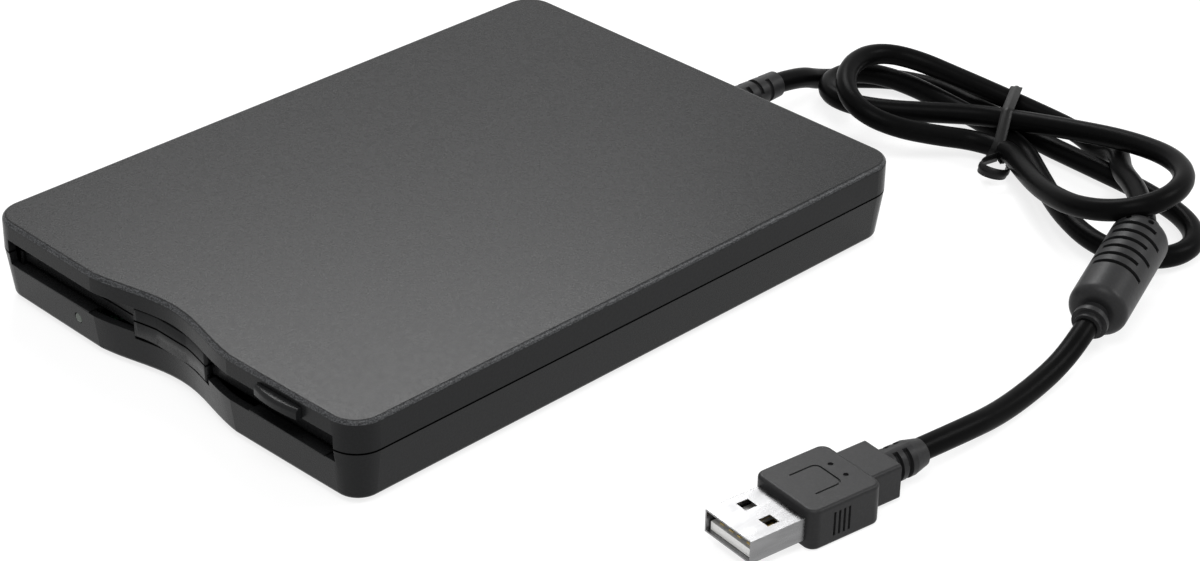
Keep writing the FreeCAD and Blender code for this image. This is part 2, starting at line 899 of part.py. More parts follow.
def mechanism_screws():
    screws = []
    head_top = chassis_top + mech_head_height
    for x, y in mech_screw_places:
        head = disc(mech_head_radius, x, y, chassis_top, head_top)
        shank = disc(screw_pilot, x, y, floor_top + 0.2, chassis_top + 0.1)
        socket = disc(socket_radius, x, y, chassis_top + mech_head_height / 2, head_top + 1)
        screws.append(fuse([head, shank]).cut(socket))
    return group(screws)


def top_shield():
    """Thin lid with a window over the heads and one over the shutter lever."""
    high = shield_low + shield_sheet
    half = chassis_half - 1
    plate = box(-half, half, slide_front, usb_board_front - 2.7, shield_low, high)
    window_half = carrier_window + 2
    window = box(-window_half, window_half, spindle_y + 19, stepper_front + 1.5, shield_low - 1, high + 1)
    lever_bay = rounded_box(
        lever_x - 8, lever_x + 22, lever_y - lever_reach - 12, lever_y + 4,
        shield_low - 1, high + 1, lever_eye_radius,
    )
    pieces = [cut(plate, [window, lever_bay])]
    foot = chassis_top + chassis_low_wall
    for side in (-1, 1):
        front = carrier_back + 10
        pieces.append(side_box(side, chassis_half - sheet, chassis_half, front, front + 12, foot, high))
        pieces.append(side_box(side, half - 0.2, chassis_half, front, front + 12, shield_low, high))
    return fuse(pieces)


def lever_end(angle):
    turn = math.radians(angle)
    return lever_x + lever_reach * math.cos(turn), lever_y + lever_reach * math.sin(turn)


def lever_slot(low, high):
    """Curved slot that the lever's finger sweeps through."""
    half_width = lever_finger_radius + lever_slot_gap
    margin = math.degrees(half_width / lever_reach)
    sweep = lever_swing + 2 * margin
    place = vec(lever_x, lever_y, low)
    outer = Part.makeCylinder(lever_reach + half_width, high - low, place, vec(0, 0, 1), sweep)
    inner = disc(lever_reach - half_width, lever_x, lever_y, low - 1, high + 1)
    return turned(outer.cut(inner), (lever_x, lever_y, 0), (0, 0, 1), lever_rest - margin)


def disk_carrier():
    """Sheet tray with a channel down each side that takes the disk."""
    low = bay_floor - sheet
    pieces = [box(-carrier_half, carrier_half, carrier_front, carrier_back, bay_top, carrier_top)]
    for side in (-1, 1):
        pieces.append(
            side_box(side, bay_half, carrier_half, carrier_front, carrier_back, low, carrier_top)
        )
        lip = bay_half - carrier_channel
        pieces.append(side_box(side, lip, carrier_half, carrier_front, carrier_back, low, bay_floor))
    under = bay_top - 1
    over = carrier_top + 1
    head_window = box(
        -carrier_window, carrier_window, spindle_y + 17, carrier_back + 1, under, over
    )
    tools = [head_window, lever_slot(under, over)]
    tools.append(disc(lever_pivot_radius, lever_x, lever_y, under, over))
    for y in pin_rows:
        tools.append(rod(pin_radius, (-case_half, y, carrier_pin_z), (1, 0, 0), 2 * case_half))
    for x, y in switch_places.values():
        tools.append(disc(plunger_radius + plunger_window, x, y, low - 1, bay_floor + 1))
    return cut(fuse(pieces), tools)


def shutter_lever():
    eye = disc(lever_eye_radius, lever_x, lever_y, lever_low, lever_high)
    near = lever_y - lever_half_width
    far = lever_y + lever_half_width
    beam = box(lever_x, lever_x + lever_reach, near, far, lever_low, lever_high)
    tip = disc(lever_tip_radius, lever_x + lever_reach, lever_y, lever_low, lever_high)
    arm = turned(fuse([eye, beam, tip]), (lever_x, lever_y, 0), (0, 0, 1), lever_rest)
    end_x, end_y = lever_end(lever_rest)
    finger = disc(lever_finger_radius, end_x, end_y, bay_top - lever_finger_depth, lever_low + 0.1)
    bore = disc(lever_pivot_radius + running_gap, lever_x, lever_y, lever_low - 1, lever_high + 1)
    return fuse([arm, finger]).cut(bore)


def shutter_lever_pivot():
    stem = disc(lever_pivot_radius, lever_x, lever_y, bay_top, lever_high + 0.2)
    head = disc(lever_tip_radius, lever_x, lever_y, lever_high + 0.1, lever_high + 0.4)
    return fuse([stem, head])


def shutter_spring():
    high = lever_low - running_gap / 2
    return ring(lever_eye_radius - 0.4, lever_pivot_radius + 0.3, lever_x, lever_y, carrier_top, high)


def carrier_pins():
    pins = []
    for side in (-1, 1):
        for y in pin_rows:
            start = (side * bay_half, y, carrier_pin_z)
            pins.append(rod(pin_radius, start, (side, 0, 0), chassis_half + 0.2 - bay_half))
    return group(pins)


def cam_slot(y):
    """Slanting slot: the pin sinks by the carrier's drop over the slide's travel."""
    reach = pin_radius + running_gap
    low = carrier_pin_z - carrier_drop
    start = y + button_travel
    stations = [
        (y - cam_dwell, carrier_pin_z),
        (y, carrier_pin_z),
        (start, low),
        (start + cam_dwell, low),
    ]
    width = 2 * case_half
    parts = [rod(reach, (-case_half, py, pz), (1, 0, 0), width) for py, pz in stations]
    for first, last in zip(stations[:-1], stations[1:]):
        run = last[0] - first[0]
        rise = last[1] - first[1]
        size = math.hypot(run, rise)
        off_y = -rise / size * reach
        off_z = run / size * reach
        points = [
            (-case_half, first[0] + off_y, first[1] + off_z),
            (-case_half, last[0] + off_y, last[1] + off_z),
            (-case_half, last[0] - off_y, last[1] - off_z),
            (-case_half, first[0] - off_y, first[1] - off_z),
        ]
        parts.append(prism(points, (width, 0, 0)))
    return fuse(parts)


def slide_plate():
    """Cam plates down both sides, a notched cross bar for the springs and an arm to the button."""
    strip_top = slide_low + sheet
    bar_front = slide_front + 4
    notch_half = spring_radius + running_gap
    pieces = [box(-slide_inner, slide_inner, bar_front, bar_front + slide_bar_depth, slide_low, strip_top)]
    for side in (-1, 1):
        top = slide_low + slide_height
        pieces.append(side_box(side, slide_inner, slide_outer, slide_front, slide_back, slide_low, top))
        near = slide_inner - slide_strip
        pieces.append(side_box(side, near, slide_outer, slide_front + 2, slide_back, slide_low, strip_top))
        near = spring_x - 2 * notch_half
        pieces.append(side_box(side, near, slide_inner, bar_front, bar_front + slide_bar_ends, slide_low, strip_top))
    tools = [cam_slot(y) for y in pin_rows]
    for side in (-1, 1):
        near = spring_x - notch_half
        far = spring_x + notch_half
        notch_back = bar_front + button_travel
        tools.append(side_box(side, near, far, bar_front - 1, notch_back, slide_low - 1, strip_top + 1))
    body = cut(fuse(pieces), tools)
    arm_high = button_arm_low + sheet
    arm_left = button_centre_x - button_arm_half
    arm_right = button_centre_x + button_arm_half
    riser_low = slide_low + slide_height - 0.1
    riser = box(slide_inner, slide_outer, slide_front, slide_front + 6, riser_low, arm_high)
    tab = box(arm_left, slide_outer, slide_front, slide_front + 4, button_arm_low, arm_high)
    nose_front = case_front + button_depth
    nose = box(arm_left, arm_right, nose_front, slide_front + 1, button_arm_low, arm_high)
    return fuse([body, riser, tab, nose])


def eject_springs():
    """Plain envelopes of the two springs that draw the slide forward."""
    start = chassis_front + lug_front + sheet
    length = slide_front + 4 - start
    springs = []
    for side in (-1, 1):
        place = (side * spring_x, start, slide_low + spring_lift)
        springs.append(rod(spring_radius, place, (0, 1, 0), length))
    return group(springs)


def head_carriage():
    """Sliding frame: plate, tapered tongue to the head, pivot fork, rail sleeve and nut arm."""
    low = carriage_low
    half = carriage_half_width
    plate_top = low + carriage_thickness
    plate = box(-half, half, carriage_front, carriage_back, low, plate_top)
    tongue_low = low + carriage_lift
    tip_half = head_half + 1
    tip_y = head_y - head_half - 0.6
    outline = [
        (-half, carriage_front, tongue_low),
        (half, carriage_front, tongue_low),
        (tip_half, tip_y, tongue_low),
        (-tip_half, tip_y, tongue_low),
    ]
    tongue_plate = prism(outline, (0, 0, carriage_tongue))
    seat_half = head_half + 0.4
    seat = box(-seat_half, seat_half, head_y - seat_half, head_y + seat_half, tongue_low, head_seat_z)
    post_front = carriage_back - post_length
    post_top = arm_pivot_z + carriage_thickness
    post = box(-post_half, post_half, post_front, carriage_back, low + 1, post_top)
    fork = box(-fork_half, fork_half, post_front - 1, carriage_back + 1, arm_pivot_z - 1.4, post_top + 1)
    sleeve_back = sleeve_front + sleeve_length
    sleeve_top = rail_z + rail_radius + 1
    sleeve = box(rail_x - sleeve_half, 0.5 - half, sleeve_front, sleeve_back, low, sleeve_top)
    nut_outer = screw_radius + nut_wall
    nut_right = screw_x + nut_outer + 0.2
    nut_arm = box(post_half - 0.5, nut_right, nut_front, nut_front + nut_length, low + 1, screw_z + 1.8)
    body = fuse([plate, tongue_plate, seat, post, sleeve, nut_arm])
    pivot = rod(arm_pivot_radius, (-2 * half, arm_pivot_y, arm_pivot_z), (1, 0, 0), 4 * half)
    bore = rod(rail_radius + running_gap, (rail_x, sleeve_front - 1, rail_z), (0, 1, 0), 2 * sleeve_length)
    nut = rod(nut_outer, (screw_x, nut_front - 1, screw_z), (0, 1, 0), nut_length + 2)
    return cut(body, [fork, pivot, bore, nut])


def screw_follower():
    nut = rod(screw_radius + nut_wall, (screw_x, nut_front, screw_z), (0, 1, 0), nut_length)
    bore = rod(screw_radius + running_gap, (screw_x, nut_front - 1, screw_z), (0, 1, 0), nut_length + 2)
    return nut.cut(bore)


def tilted(shape):
    return turned(shape, (0, arm_pivot_y, arm_pivot_z), (1, 0, 0), -arm_tilt)


def upper_head_arm():
    low = arm_pivot_z - arm_thickness / 2
    shoulder = arm_pivot_y - 8
    tip_half = head_half + 0.6
    tip_y = head_y - head_half - 0.4
    outline = [
        (-arm_half, arm_pivot_y + 0.5, low),
        (arm_half, arm_pivot_y + 0.5, low),
        (arm_half, shoulder, low),
        (tip_half, tip_y, low),
        (-tip_half, tip_y, low),
        (-arm_half, shoulder, low),
    ]
    beam = prism(outline, (0, 0, arm_thickness))
    hinge = rod(arm_pivot_radius + 0.5, (-arm_half, arm_pivot_y, arm_pivot_z), (1, 0, 0), 2 * arm_half)
    gimbal_half = head_half + plate_gap
    gimbal = box(-2.0, 2.0, head_y - gimbal_half, head_y + gimbal_half, low - 0.7, low + 0.1)
    bore_start = (-arm_half - 1, arm_pivot_y, arm_pivot_z)
    bore = rod(arm_pivot_radius + running_gap, bore_start, (1, 0, 0), 2 * arm_half + 2)
    return tilted(fuse([beam, hinge, gimbal]).cut(bore))


def head_block(low, high, slot_low):
    """Ferrite slider with the shallow groove that faces the disk."""
    block = box(-1.5, 1.5, head_y - head_half, head_y + head_half, low, high)
    slot = box(-0.25, 0.25, head_y - head_half - 1, head_y + head_half + 1, slot_low, slot_low + 1.3)
    return block.cut(slot)


def lower_head():
    high = arm_pivot_z - 2.0 - head_gap
    return head_block(head_seat_z, high, high - 0.3)


def upper_head():
    low = arm_pivot_z - 2.0
    return tilted(head_block(low, arm_pivot_z - arm_thickness / 2 - 0.7, low - 1))


def arm_hinge_pin():
    half = post_half - 0.1
    return rod(arm_pivot_radius, (-half, arm_pivot_y, arm_pivot_z), (1, 0, 0), 2 * half)


def guide_rail():
    return rod(rail_radius, (rail_x, rail_front, rail_z), (0, 1, 0), rail_back - rail_front)


def rail_clips():
    clips = []
    for y in (rail_front, rail_back - clip_length):
        top = rail_z + rail_radius - running_gap
        block = box(rail_x - clip_half, rail_x + clip_half, y, y + clip_length, chassis_top, top)
        clips.append(block.cut(rod(rail_radius, (rail_x, y - 1, rail_z), (0, 1, 0), clip_length + 2)))
    return group(clips)


def lead_screw():
    length = stepper_front + 1.0 - screw_front
    return rod(screw_radius, (screw_x, screw_front, screw_z), (0, 1, 0), length)


def screw_bearing():
    half = stepper_boss_radius + 0.2
    back = screw_front + bearing_plate
    plate = box(screw_x - half, screw_x + half, screw_front, back, chassis_top, screw_z + half)
    foot = box(screw_x - half, screw_x + 2 * half, screw_front, back + 2, chassis_top, chassis_top + sheet)
    hole = rod(screw_radius + running_gap, (screw_x, screw_front - 1, screw_z), (0, 1, 0), 4)
    return fuse([plate, foot]).cut(hole)


def stepper_motor():
    back = stepper_front + stepper_length
    body = rod(stepper_radius, (screw_x, stepper_front, screw_z), (0, 1, 0), stepper_length)
    body = body.makeFillet(0.6, [e for e in body.Edges if abs(e.BoundBox.YMin - back) < 1e-4])
    boss_front = stepper_front - bracket_sheet
    boss = rod(stepper_boss_radius, (screw_x, boss_front, screw_z), (0, 1, 0), bracket_sheet + 0.1)
    hole = rod(screw_radius + running_gap, (screw_x, boss_front - 1, screw_z), (0, 1, 0), 1 + bracket_sheet + 1)
    return fuse([body, boss]).cut(hole)


def stepper_bracket():
    front = stepper_front - bracket_sheet
    left = screw_x - bracket_half
    right = screw_x + bracket_half
    foot_top = screw_z - stepper_radius - running_gap / 2
    plate = box(left, right, front, stepper_front, chassis_top, screw_z + stepper_radius)
    foot = box(left, right, front, stepper_front + 5, chassis_top, foot_top)
    hole = rod(stepper_boss_radius, (screw_x, front - 1, screw_z), (0, 1, 0), 3)
    return fuse([plate, foot]).cut(hole)


def track_zero_sensor():
    """Forked light barrier beside the rail."""
    right = rail_x - sleeve_half - 0.8
    left = right - 5.0
    front = sleeve_front
    base = box(left, right, front, front + 5, chassis_top, chassis_top + 1.4)
    arms = []
    for y in (front, front + 3.6):
        arms.append(box(left + 1, right - 1, y, y + 1.4, chassis_top + 1.3, chassis_top + 4.4))
    return fuse([base] + arms)


def disk_switches():
    bodies = []
    top = chassis_top + switch_height
    for x, y in switch_places.values():
        body = box(x - switch_half, x + switch_half, y - 2.5, y + 2.5, chassis_top, top)
        bore = disc(plunger_radius + running_gap, x, y, chassis_top + 0.2, top + 1)
        bodies.append(body.cut(bore))
    return group(bodies)


def plunger(name):
    x, y = switch_places[name]
    low = chassis_top + 0.2 + plunger_travel
    return disc(plunger_radius, x, y, low, chassis_top + switch_height + plunger_travel)


def control_board():
    left = screw_x + 4.5
    right = chassis_inner - control_board_side
    front = carrier_back + control_board_front
    back = stepper_front - control_board_back
    low = chassis_top + control_board_lift
    pieces = [box(left, right, front, back, low, low + control_board_thickness)]
    for x in (left + 12, right - 4):
        for y in (front + 3, back - 2.5):
            pieces.append(disc(1.2, x, y, chassis_top, low + 0.1))
    return fuse(pieces)


def usb_board():
    half = usb_board_half
    return rounded_box(-half, half, usb_board_front, usb_board_back, usb_board_low, usb_board_top, 0.8)


def usb_board_parts():
    top = usb_board_top
    front = usb_board_front + 0.6
    back = usb_board_back - 0.6
    middle = (usb_board_front + usb_board_back) / 2
    chip = box(-22.0, -15.0, front, back, top, top + 1.2)
    crystal = rounded_box(-10.0, -5.0, middle - 1.5, middle + 1.5, top, top + 1.6, 1.4)
    regulator = box(16.0, 20.0, middle - 2, middle + 2, top, top + 1.4)
    capacitors = [disc(1.6, x, middle, top, top + 4.4) for x in (25.0, 29.0)]
    return group([chip, crystal, regulator] + capacitors)


def cable_header():
    front = usb_board_front + 0.4
    return box(relief_x - 4.6, relief_x + 6.4, front, front + 3.0, usb_board_top, usb_board_top + 1.9)


def flat_cable():
    """Thin ribbon from the spindle board, under the chassis, up to the rear board."""
    left = cable_x - cable_half
    right = cable_x + cable_half
    front = spindle_y + board_half + board_corner * 3 - 1
    turn = usb_board_front - 1.0
    low = board_bottom - cable_film
    high = usb_board_low + usb_board_thickness / 2
    run = box(left, right, front, turn + cable_film, low, board_bottom)
    rise = box(left, right, turn, turn + cable_film, low, high)
    tail = box(left, right, turn, usb_board_front, high - cable_film, high)
    return fuse([run, rise, tail])


def slit(x, y, z, width, radius, across):
    """Ring-shaped slit round a moulded relief, bridged at two opposite places."""
    reach = radius + 1
    tube = rod(reach, (x, y, z), (0, 1, 0), width)
    core = rod(cord_diameter / 2 + 0.2, (x, y - 1, z), (0, 1, 0), width + 2)
    half_x = reach if across else relief_spine
    half_z = relief_spine if across else reach
    spine = box(x - half_x, x + half_x, y - 1, y + width + 1, z - half_z, z + half_z)
    return tube.cut(core).cut(spine)


def strain_relief():
    x = relief_x
    z = relief_z
    taper = Part.makeCone(relief_radius, relief_tip_radius, relief_length, vec(x, case_back, z), vec(0, 1, 0))
    flange_back = case_back - wall - case_inset(z - relief_flange) - bezel_gap
    flange_start = (x, flange_back - relief_flange_depth, z)
    flange = rod(relief_flange, flange_start, (0, 1, 0), relief_flange_depth)
    neck_front = flange_back - 0.1
    neck = rod(relief_neck - running_gap, (x, neck_front, z), (0, 1, 0), case_back + 0.1 - neck_front)
    slits = []
    for i in range(relief_slits):
        y = case_back + 2.6 + relief_pitch * i
        slits.append(slit(x, y, z, relief_slit, relief_radius, i % 2 == 1))
    return cut(fuse([taper, neck, flange]), slits)


def tube_along(points, radius, name):
    """Tube along straight runs joined by tangent arcs."""
    corners = [vec(*p) for p in points]
    edges = []
    last = corners[0]
    radii = []
    for before, here, after in zip(corners[:-2], corners[1:-1], corners[2:]):
        back = before - here
        ahead = after - here
        turn = math.pi - back.getAngle(ahead)
        reach = 0.45 * min(back.Length, ahead.Length)
        arc_radius = reach / math.tan(turn / 2)
        radii.append(arc_radius)
        start = here + back.normalize() * reach
        finish = here + ahead.normalize() * reach
        inward = (start + finish) * 0.5 - here
        middle = here + inward.normalize() * (arc_radius / math.cos(turn / 2) - arc_radius)
        edges.append(Part.makeLine(last, start))
        edges.append(Part.Arc(start, middle, finish).toShape())
        last = finish
    edges.append(Part.makeLine(last, corners[-1]))
    wire = Part.Wire(edges)
    section = Part.Wire([Part.Circle(corners[0], corners[1] - corners[0], radius).toShape()])
    tube = wire.makePipeShell([section], True, False)
    expected = math.pi * radius**2 * wire.Length
    print(name, "length", round(wire.Length, 1), "smallest arc", round(min(radii), 1))
    print(name, "volume ratio", round(tube.Volume / expected, 4))
    return tube


def tie_place(crossing, along):
    offset, z = tie_crossings[crossing]
    heading = math.radians(tie_heading)
    x = tie_x - math.sin(heading) * offset + math.cos(heading) * along
    y = tie_y + math.cos(heading) * offset + math.sin(heading) * along
    return x, y, z


def loop_points(first, last, side, length, width, heading, lean, lift, fullness):
    """One teardrop of cord that leaves the tie, turns round and comes back to it."""
    start = tie_place(first, side)
    end = tie_place(last, side)
    angle = math.radians(tie_heading + heading)
    ahead = (side * math.cos(angle), side * math.sin(angle))
    aside = (-ahead[1], ahead[0])
    points = []
    for i in range(1, loop_steps):
        t = i / loop_steps
        rise = math.sin(math.pi * t)
        swell = rise**2
        ease = t * t * (3 - 2 * t)
        out = length * rise**fullness
        over = 0.65 * width * math.sin(2 * math.pi * t) * rise**1.3 + lean * swell
        x = start[0] * (1 - ease) + end[0] * ease + out * ahead[0] + over * aside[0]
        y = start[1] * (1 - ease) + end[1] * ease + out * ahead[1] + over * aside[1]
        z = start[2] * (1 - ease) + end[2] * ease + lift * swell
        points.append((x, y, z))
    return points


def hank_ring(loop, low, high):
    """Flat closed ring with the outline of one loop."""
    centre = [vec(x, y, low) for x, y, z in loop_points(*loop)]
    middle = vec(0, 0, 0)
    for p in centre:
        middle = middle + p * (1.0 / len(centre))
    rings = []
    for sign in (1, -1):
        outline = []
        for p in centre:
            q = p + (p - middle).normalize() * (sign * cord_diameter / 2)
            outline.append((q.x, q.y, q.z))
        rings.append(prism(outline, (0, 0, high - low)))
    return rings[0].cut(rings[1])


def cord_hank():
    """Closed envelope of the tied loops: flat rings joined by a waist at the tie."""
    rings = [
        hank_ring(hank_loops[0], 0, cord_diameter),
        hank_ring(hank_loops[3], 0, 1.5 * cord_diameter),
        hank_ring(hank_loops[2], cord_diameter, 4 * cord_diameter),
    ]
    near = tie_y + tie_near + 1
    far = tie_y + tie_far - 1
    waist = rounded_box(tie_x - 9.0, tie_x + 12.0, near, far, 0, 2 * cord_diameter - 0.5, 3.0)
    return fuse([turned(waist, (tie_x, tie_y, 0), (0, 0, 1), tie_heading)] + rings)


def cord_tie():
    """Thin band round the strands at the waist of the hank."""
    half = tie_width / 2
    near = tie_y + tie_near
    far = tie_y + tie_far
    high = tie_top + tie_band
    outer = rounded_box(tie_x - half, tie_x + half, near - tie_band, far + tie_band, 0, high, 0.9)
    band = outer.cut(box(tie_x - tie_width, tie_x + tie_width, near, far, tie_band, tie_top))
    return turned(band, (tie_x, tie_y, 0), (0, 0, 1), tie_heading)


def ferrite_core():
    """Moulded barrel round the core, with a stepped neck at each end and curved grooves."""
    start = vec(*plug_lead_points[0])
    axis = vec(*core_lead_points[-1]) - start
    length = axis.Length
    neck = cord_diameter / 2 + 0.5
    collar = neck + 0.8
    body_start = core_neck_length
    body_end = length - core_neck_length + 1.4
    bulge = ferrite_round * (1 - math.sqrt(0.5))
    r = ferrite_radius
    low_arc = (vec(r - ferrite_round, 0, body_start), vec(r - bulge, 0, body_start + bulge))
    high_arc = (vec(r - bulge, 0, body_end - bulge), vec(r - ferrite_round, 0, body_end))
    low_side = vec(r, 0, body_start + ferrite_round)
    high_side = vec(r, 0, body_end - ferrite_round)
    steps = [(0, 0), (neck, 0), (neck, 1.2), (collar, 1.2), (collar, 2.3), (neck, 2.3), (neck, body_start)]
    outline = [vec(x, 0, z) for x, z in steps] + [low_arc[0]]
    edges = [Part.makeLine(p, q) for p, q in zip(outline[:-1], outline[1:])]
    edges.append(Part.Arc(low_arc[0], low_arc[1], low_side).toShape())
    edges.append(Part.makeLine(low_side, high_side))
    edges.append(Part.Arc(high_side, high_arc[0], high_arc[1]).toShape())
    end = [high_arc[1], vec(neck, 0, body_end), vec(neck, 0, length), vec(0, 0, length), vec(0, 0, 0)]
    edges += [Part.makeLine(p, q) for p, q in zip(end[:-1], end[1:])]
    body = Part.Face(Part.Wire(edges)).revolve(vec(0, 0, 0), vec(0, 0, 1), 360)
    tools = []
    for i in range(core_groove_count):
        z = body_end - ferrite_round - 2.4 - core_groove_pitch * i
        place = vec(0, 0, z)
        outer = Part.makeCylinder(r + 1, core_groove_width, place, vec(0, 0, 1), core_groove_sweep)
        inner = disc(r - core_groove_depth, 0, 0, z - 1, z + core_groove_width + 1)
        lead = 90 - core_groove_sweep / 2 + (12 if i % 2 else -12)
        tools.append(turned(outer.cut(inner), (0, 0, 0), (0, 0, 1), lead))
    for side in (-1, 1):
        spot = rod(0.6, (side * 2.2, 0, body_end - ferrite_round), (0, 1, 0), r + 1)
        tools.append(spot.cut(disc(r - core_groove_depth, 0, 0, 0, length)))
    body = cut(body, tools)
    # The drawn Z axis goes onto the core's axis, and the grooves' side goes upwards
    up = vec(0, 0, 1)
    turn = FreeCAD.Rotation(vec(1, 0, 0), up, axis, "ZYX")
    body.Placement = FreeCAD.Placement(start, turn)
    return body


def along_line(shape, start, heading):
    """Moves a piece drawn along +Y from the origin onto a line in plan."""
    copy = shape.copy()
    copy.rotate(vec(0, 0, 0), vec(0, 0, 1), -heading)
    copy.translate(vec(*start))
    return copy


def plug_overmould(cavity):
    middle = plug_body_height / 2
    body_end = plug_shell_length + plug_body_length
    neck_end = body_end + plug_neck_length
    side = plug_body_width / 2
    neck = plug_neck_width / 2
    top = plug_body_height
    body = rounded_box(-side, side, plug_shell_length, body_end, 0, top, plug_body_corner)
    body = body.makeFillet(plug_edge_radius, edges_at(body, 0) + edges_at(body, top))
    margin = (top - plug_neck_height) / 2
    rear = box(-neck, neck, body_end - 0.5, neck_end, margin, top - margin)
    long_edges = [e for e in rear.Edges if e.BoundBox.YLength > plug_neck_length]
    body = fuse([body, rear.makeFillet(plug_edge_radius, long_edges)])
    tools = [cavity]
    for edge in (-1, 1):
        for i in range(plug_grip_count):
            y = plug_shell_length + plug_grip_front + plug_grip_pitch * i
            tools.append(side_box(edge, side - 0.4, side + 0.4, y, y + 0.55, 1.6, top - 1.6))
    panel_front = plug_shell_length + plug_panel_front
    panel_back = panel_front + plug_panel_length
    half = plug_panel_half
    line = plug_panel_line
    low = top - plug_panel_depth
    outer = rounded_box(-half, half, panel_front, panel_back, low, top + 1, 1.4)
    inner = rounded_box(-half + line, half - line, panel_front, panel_back - line, low - 1, top + 2, 1.1)
    gate = box(-half - 1, half + 1, panel_front - 1, panel_front + 1.4, low - 1, top + 2)
    tools.append(outer.cut(inner).cut(gate))
    for dimple_x in (-2.0, 2.0):
        tools.append(disc(0.5, dimple_x, panel_back + 1.8, top - 0.4, top + 1))
    relief_end = plug_relief_length - plug_relief_tip
    relief = rod(plug_relief_radius, (0, neck_end - 0.1, middle), (0, 1, 0), relief_end + 0.1)
    tip_start = vec(0, neck_end + relief_end, middle)
    tip_radius = cord_diameter / 2 + 0.4
    tip = Part.makeCone(plug_relief_radius, tip_radius, plug_relief_tip, tip_start, vec(0, 1, 0))
    for i in range(2):
        y = neck_end + 1.4 + 2.2 * i
        tools.append(slit(0, y, middle, relief_slit, plug_relief_radius, False))
    return cut(fuse([body, relief, tip]), tools)


def plug_parts():
    middle = plug_body_height / 2
    half = plug_shell_width / 2
    low = middle - plug_shell_height / 2
    high = middle + plug_shell_height / 2
    wall_in = plug_shell_wall
    seat_end = plug_shell_length + plug_shell_seat
    shell = box(-half, half, 0, seat_end, low, high)
    inside = box(-half + wall_in, half - wall_in, -1, seat_end + 1, low + wall_in, high - wall_in)
    tools = [inside]
    for side in (-1, 1):
        near = plug_window_x - plug_window / 2
        window_end = plug_window_y + plug_window
        tools.append(
            side_box(side, near, near + plug_window, plug_window_y, window_end, low - 1, high + 1)
        )
    tongue_low = low + wall_in + running_gap
    tongue_top = tongue_low + plug_tongue_height
    tongue_half = half - 2 * wall_in
    contacts = []
    for x in (-3.5, -1.0, 1.0, 3.5):
        near = x - plug_contact_width / 2
        top = tongue_top + plug_contact_height
        contacts.append(box(near, near + plug_contact_width, 1.6, plug_shell_length, tongue_top, top))
    cavity = box(-half, half, plug_shell_length - 1, seat_end, low, high)
    shapes = {
        "plug_shell": cut(shell, tools),
        "plug_tongue": box(-tongue_half, tongue_half, 0.8, seat_end, tongue_low, tongue_top),
        "plug_contacts": group(contacts),
        "plug_overmould": plug_overmould(cavity),
    }
    start = (plug_x, plug_y, 0)
    return {name: along_line(shape, start, plug_heading) for name, shape in shapes.items()}


def build():
    nodes = {
        "top_cover": top_cover(),
        "bottom_cover": bottom_cover(),
        "rubber_feet": rubber_feet(),
        "case_screws": case_screws(),
        "slot_bezel": slot_bezel(),
        "dust_door": dust_door(),
        "eject_button": eject_button(),
        "activity_light_pipe": activity_light_pipe(),
        "activity_led": activity_led(),
        "motor_board": motor_board(),
        "stator_coils": stator_coils(),
        "spindle_bearing": spindle_bearing(),
        "chassis": chassis(),
        "mechanism_screws": mechanism_screws(),
        "top_shield": top_shield(),
        "disk_carrier": disk_carrier(),
        "carrier_pins": carrier_pins(),
        "shutter_lever": shutter_lever(),
        "shutter_lever_pivot": shutter_lever_pivot(),
        "shutter_spring": shutter_spring(),
        "slide_plate": slide_plate(),
        "eject_springs": eject_springs(),
        "head_carriage": head_carriage(),
        "screw_follower": screw_follower(),
        "lower_head": lower_head(),
        "upper_head_arm": upper_head_arm(),
        "upper_head": upper_head(),
        "arm_hinge_pin": arm_hinge_pin(),
        "guide_rail": guide_rail(),
        "rail_clips": rail_clips(),
        "lead_screw": lead_screw(),
        "screw_bearing": screw_bearing(),
        "stepper_motor": stepper_motor(),
        "stepper_bracket": stepper_bracket(),
        "track_zero_sensor": track_zero_sensor(),
        "disk_switches": disk_switches(),
        "control_board": control_board(),
        "usb_board": usb_board(),
        "usb_board_parts": usb_board_parts(),
        "cable_header": cable_header(),
        "flat_cable": flat_cable(),
        "strain_relief": strain_relief(),
        "cord_lead": tube_along(lead_points, cord_diameter / 2, "cord_lead"),
        "cord_hank": cord_hank(),
        "cord_tie": cord_tie(),
        "cord_core_lead": tube_along(core_lead_points, cord_diameter / 2, "cord_core_lead"),
        "ferrite_core": ferrite_core(),
        "cord_plug_lead": tube_along(plug_lead_points, cord_diameter / 2, "cord_plug_lead"),
    }
    for name in switch_places:
        nodes[name + "_plunger"] = plunger(name)
    nodes.update(spindle_parts())
    nodes.update(plug_parts())
    return nodes


os.makedirs("parts", exist_ok=True)
for name, shape in build().items():
    if not shape.isValid():
        print(name, "is not valid")
    shape.exportStep("parts/" + name + ".step")
    bounds = shape.BoundBox
    sides = (bounds.XMin, bounds.XMax, bounds.YMin, bounds.YMax, bounds.ZMin, bounds.ZMax)
    print(name, len(shape.Solids), [round(v, 2) for v in sides])
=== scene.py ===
import json
import math

import bpy
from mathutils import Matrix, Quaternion, Vector


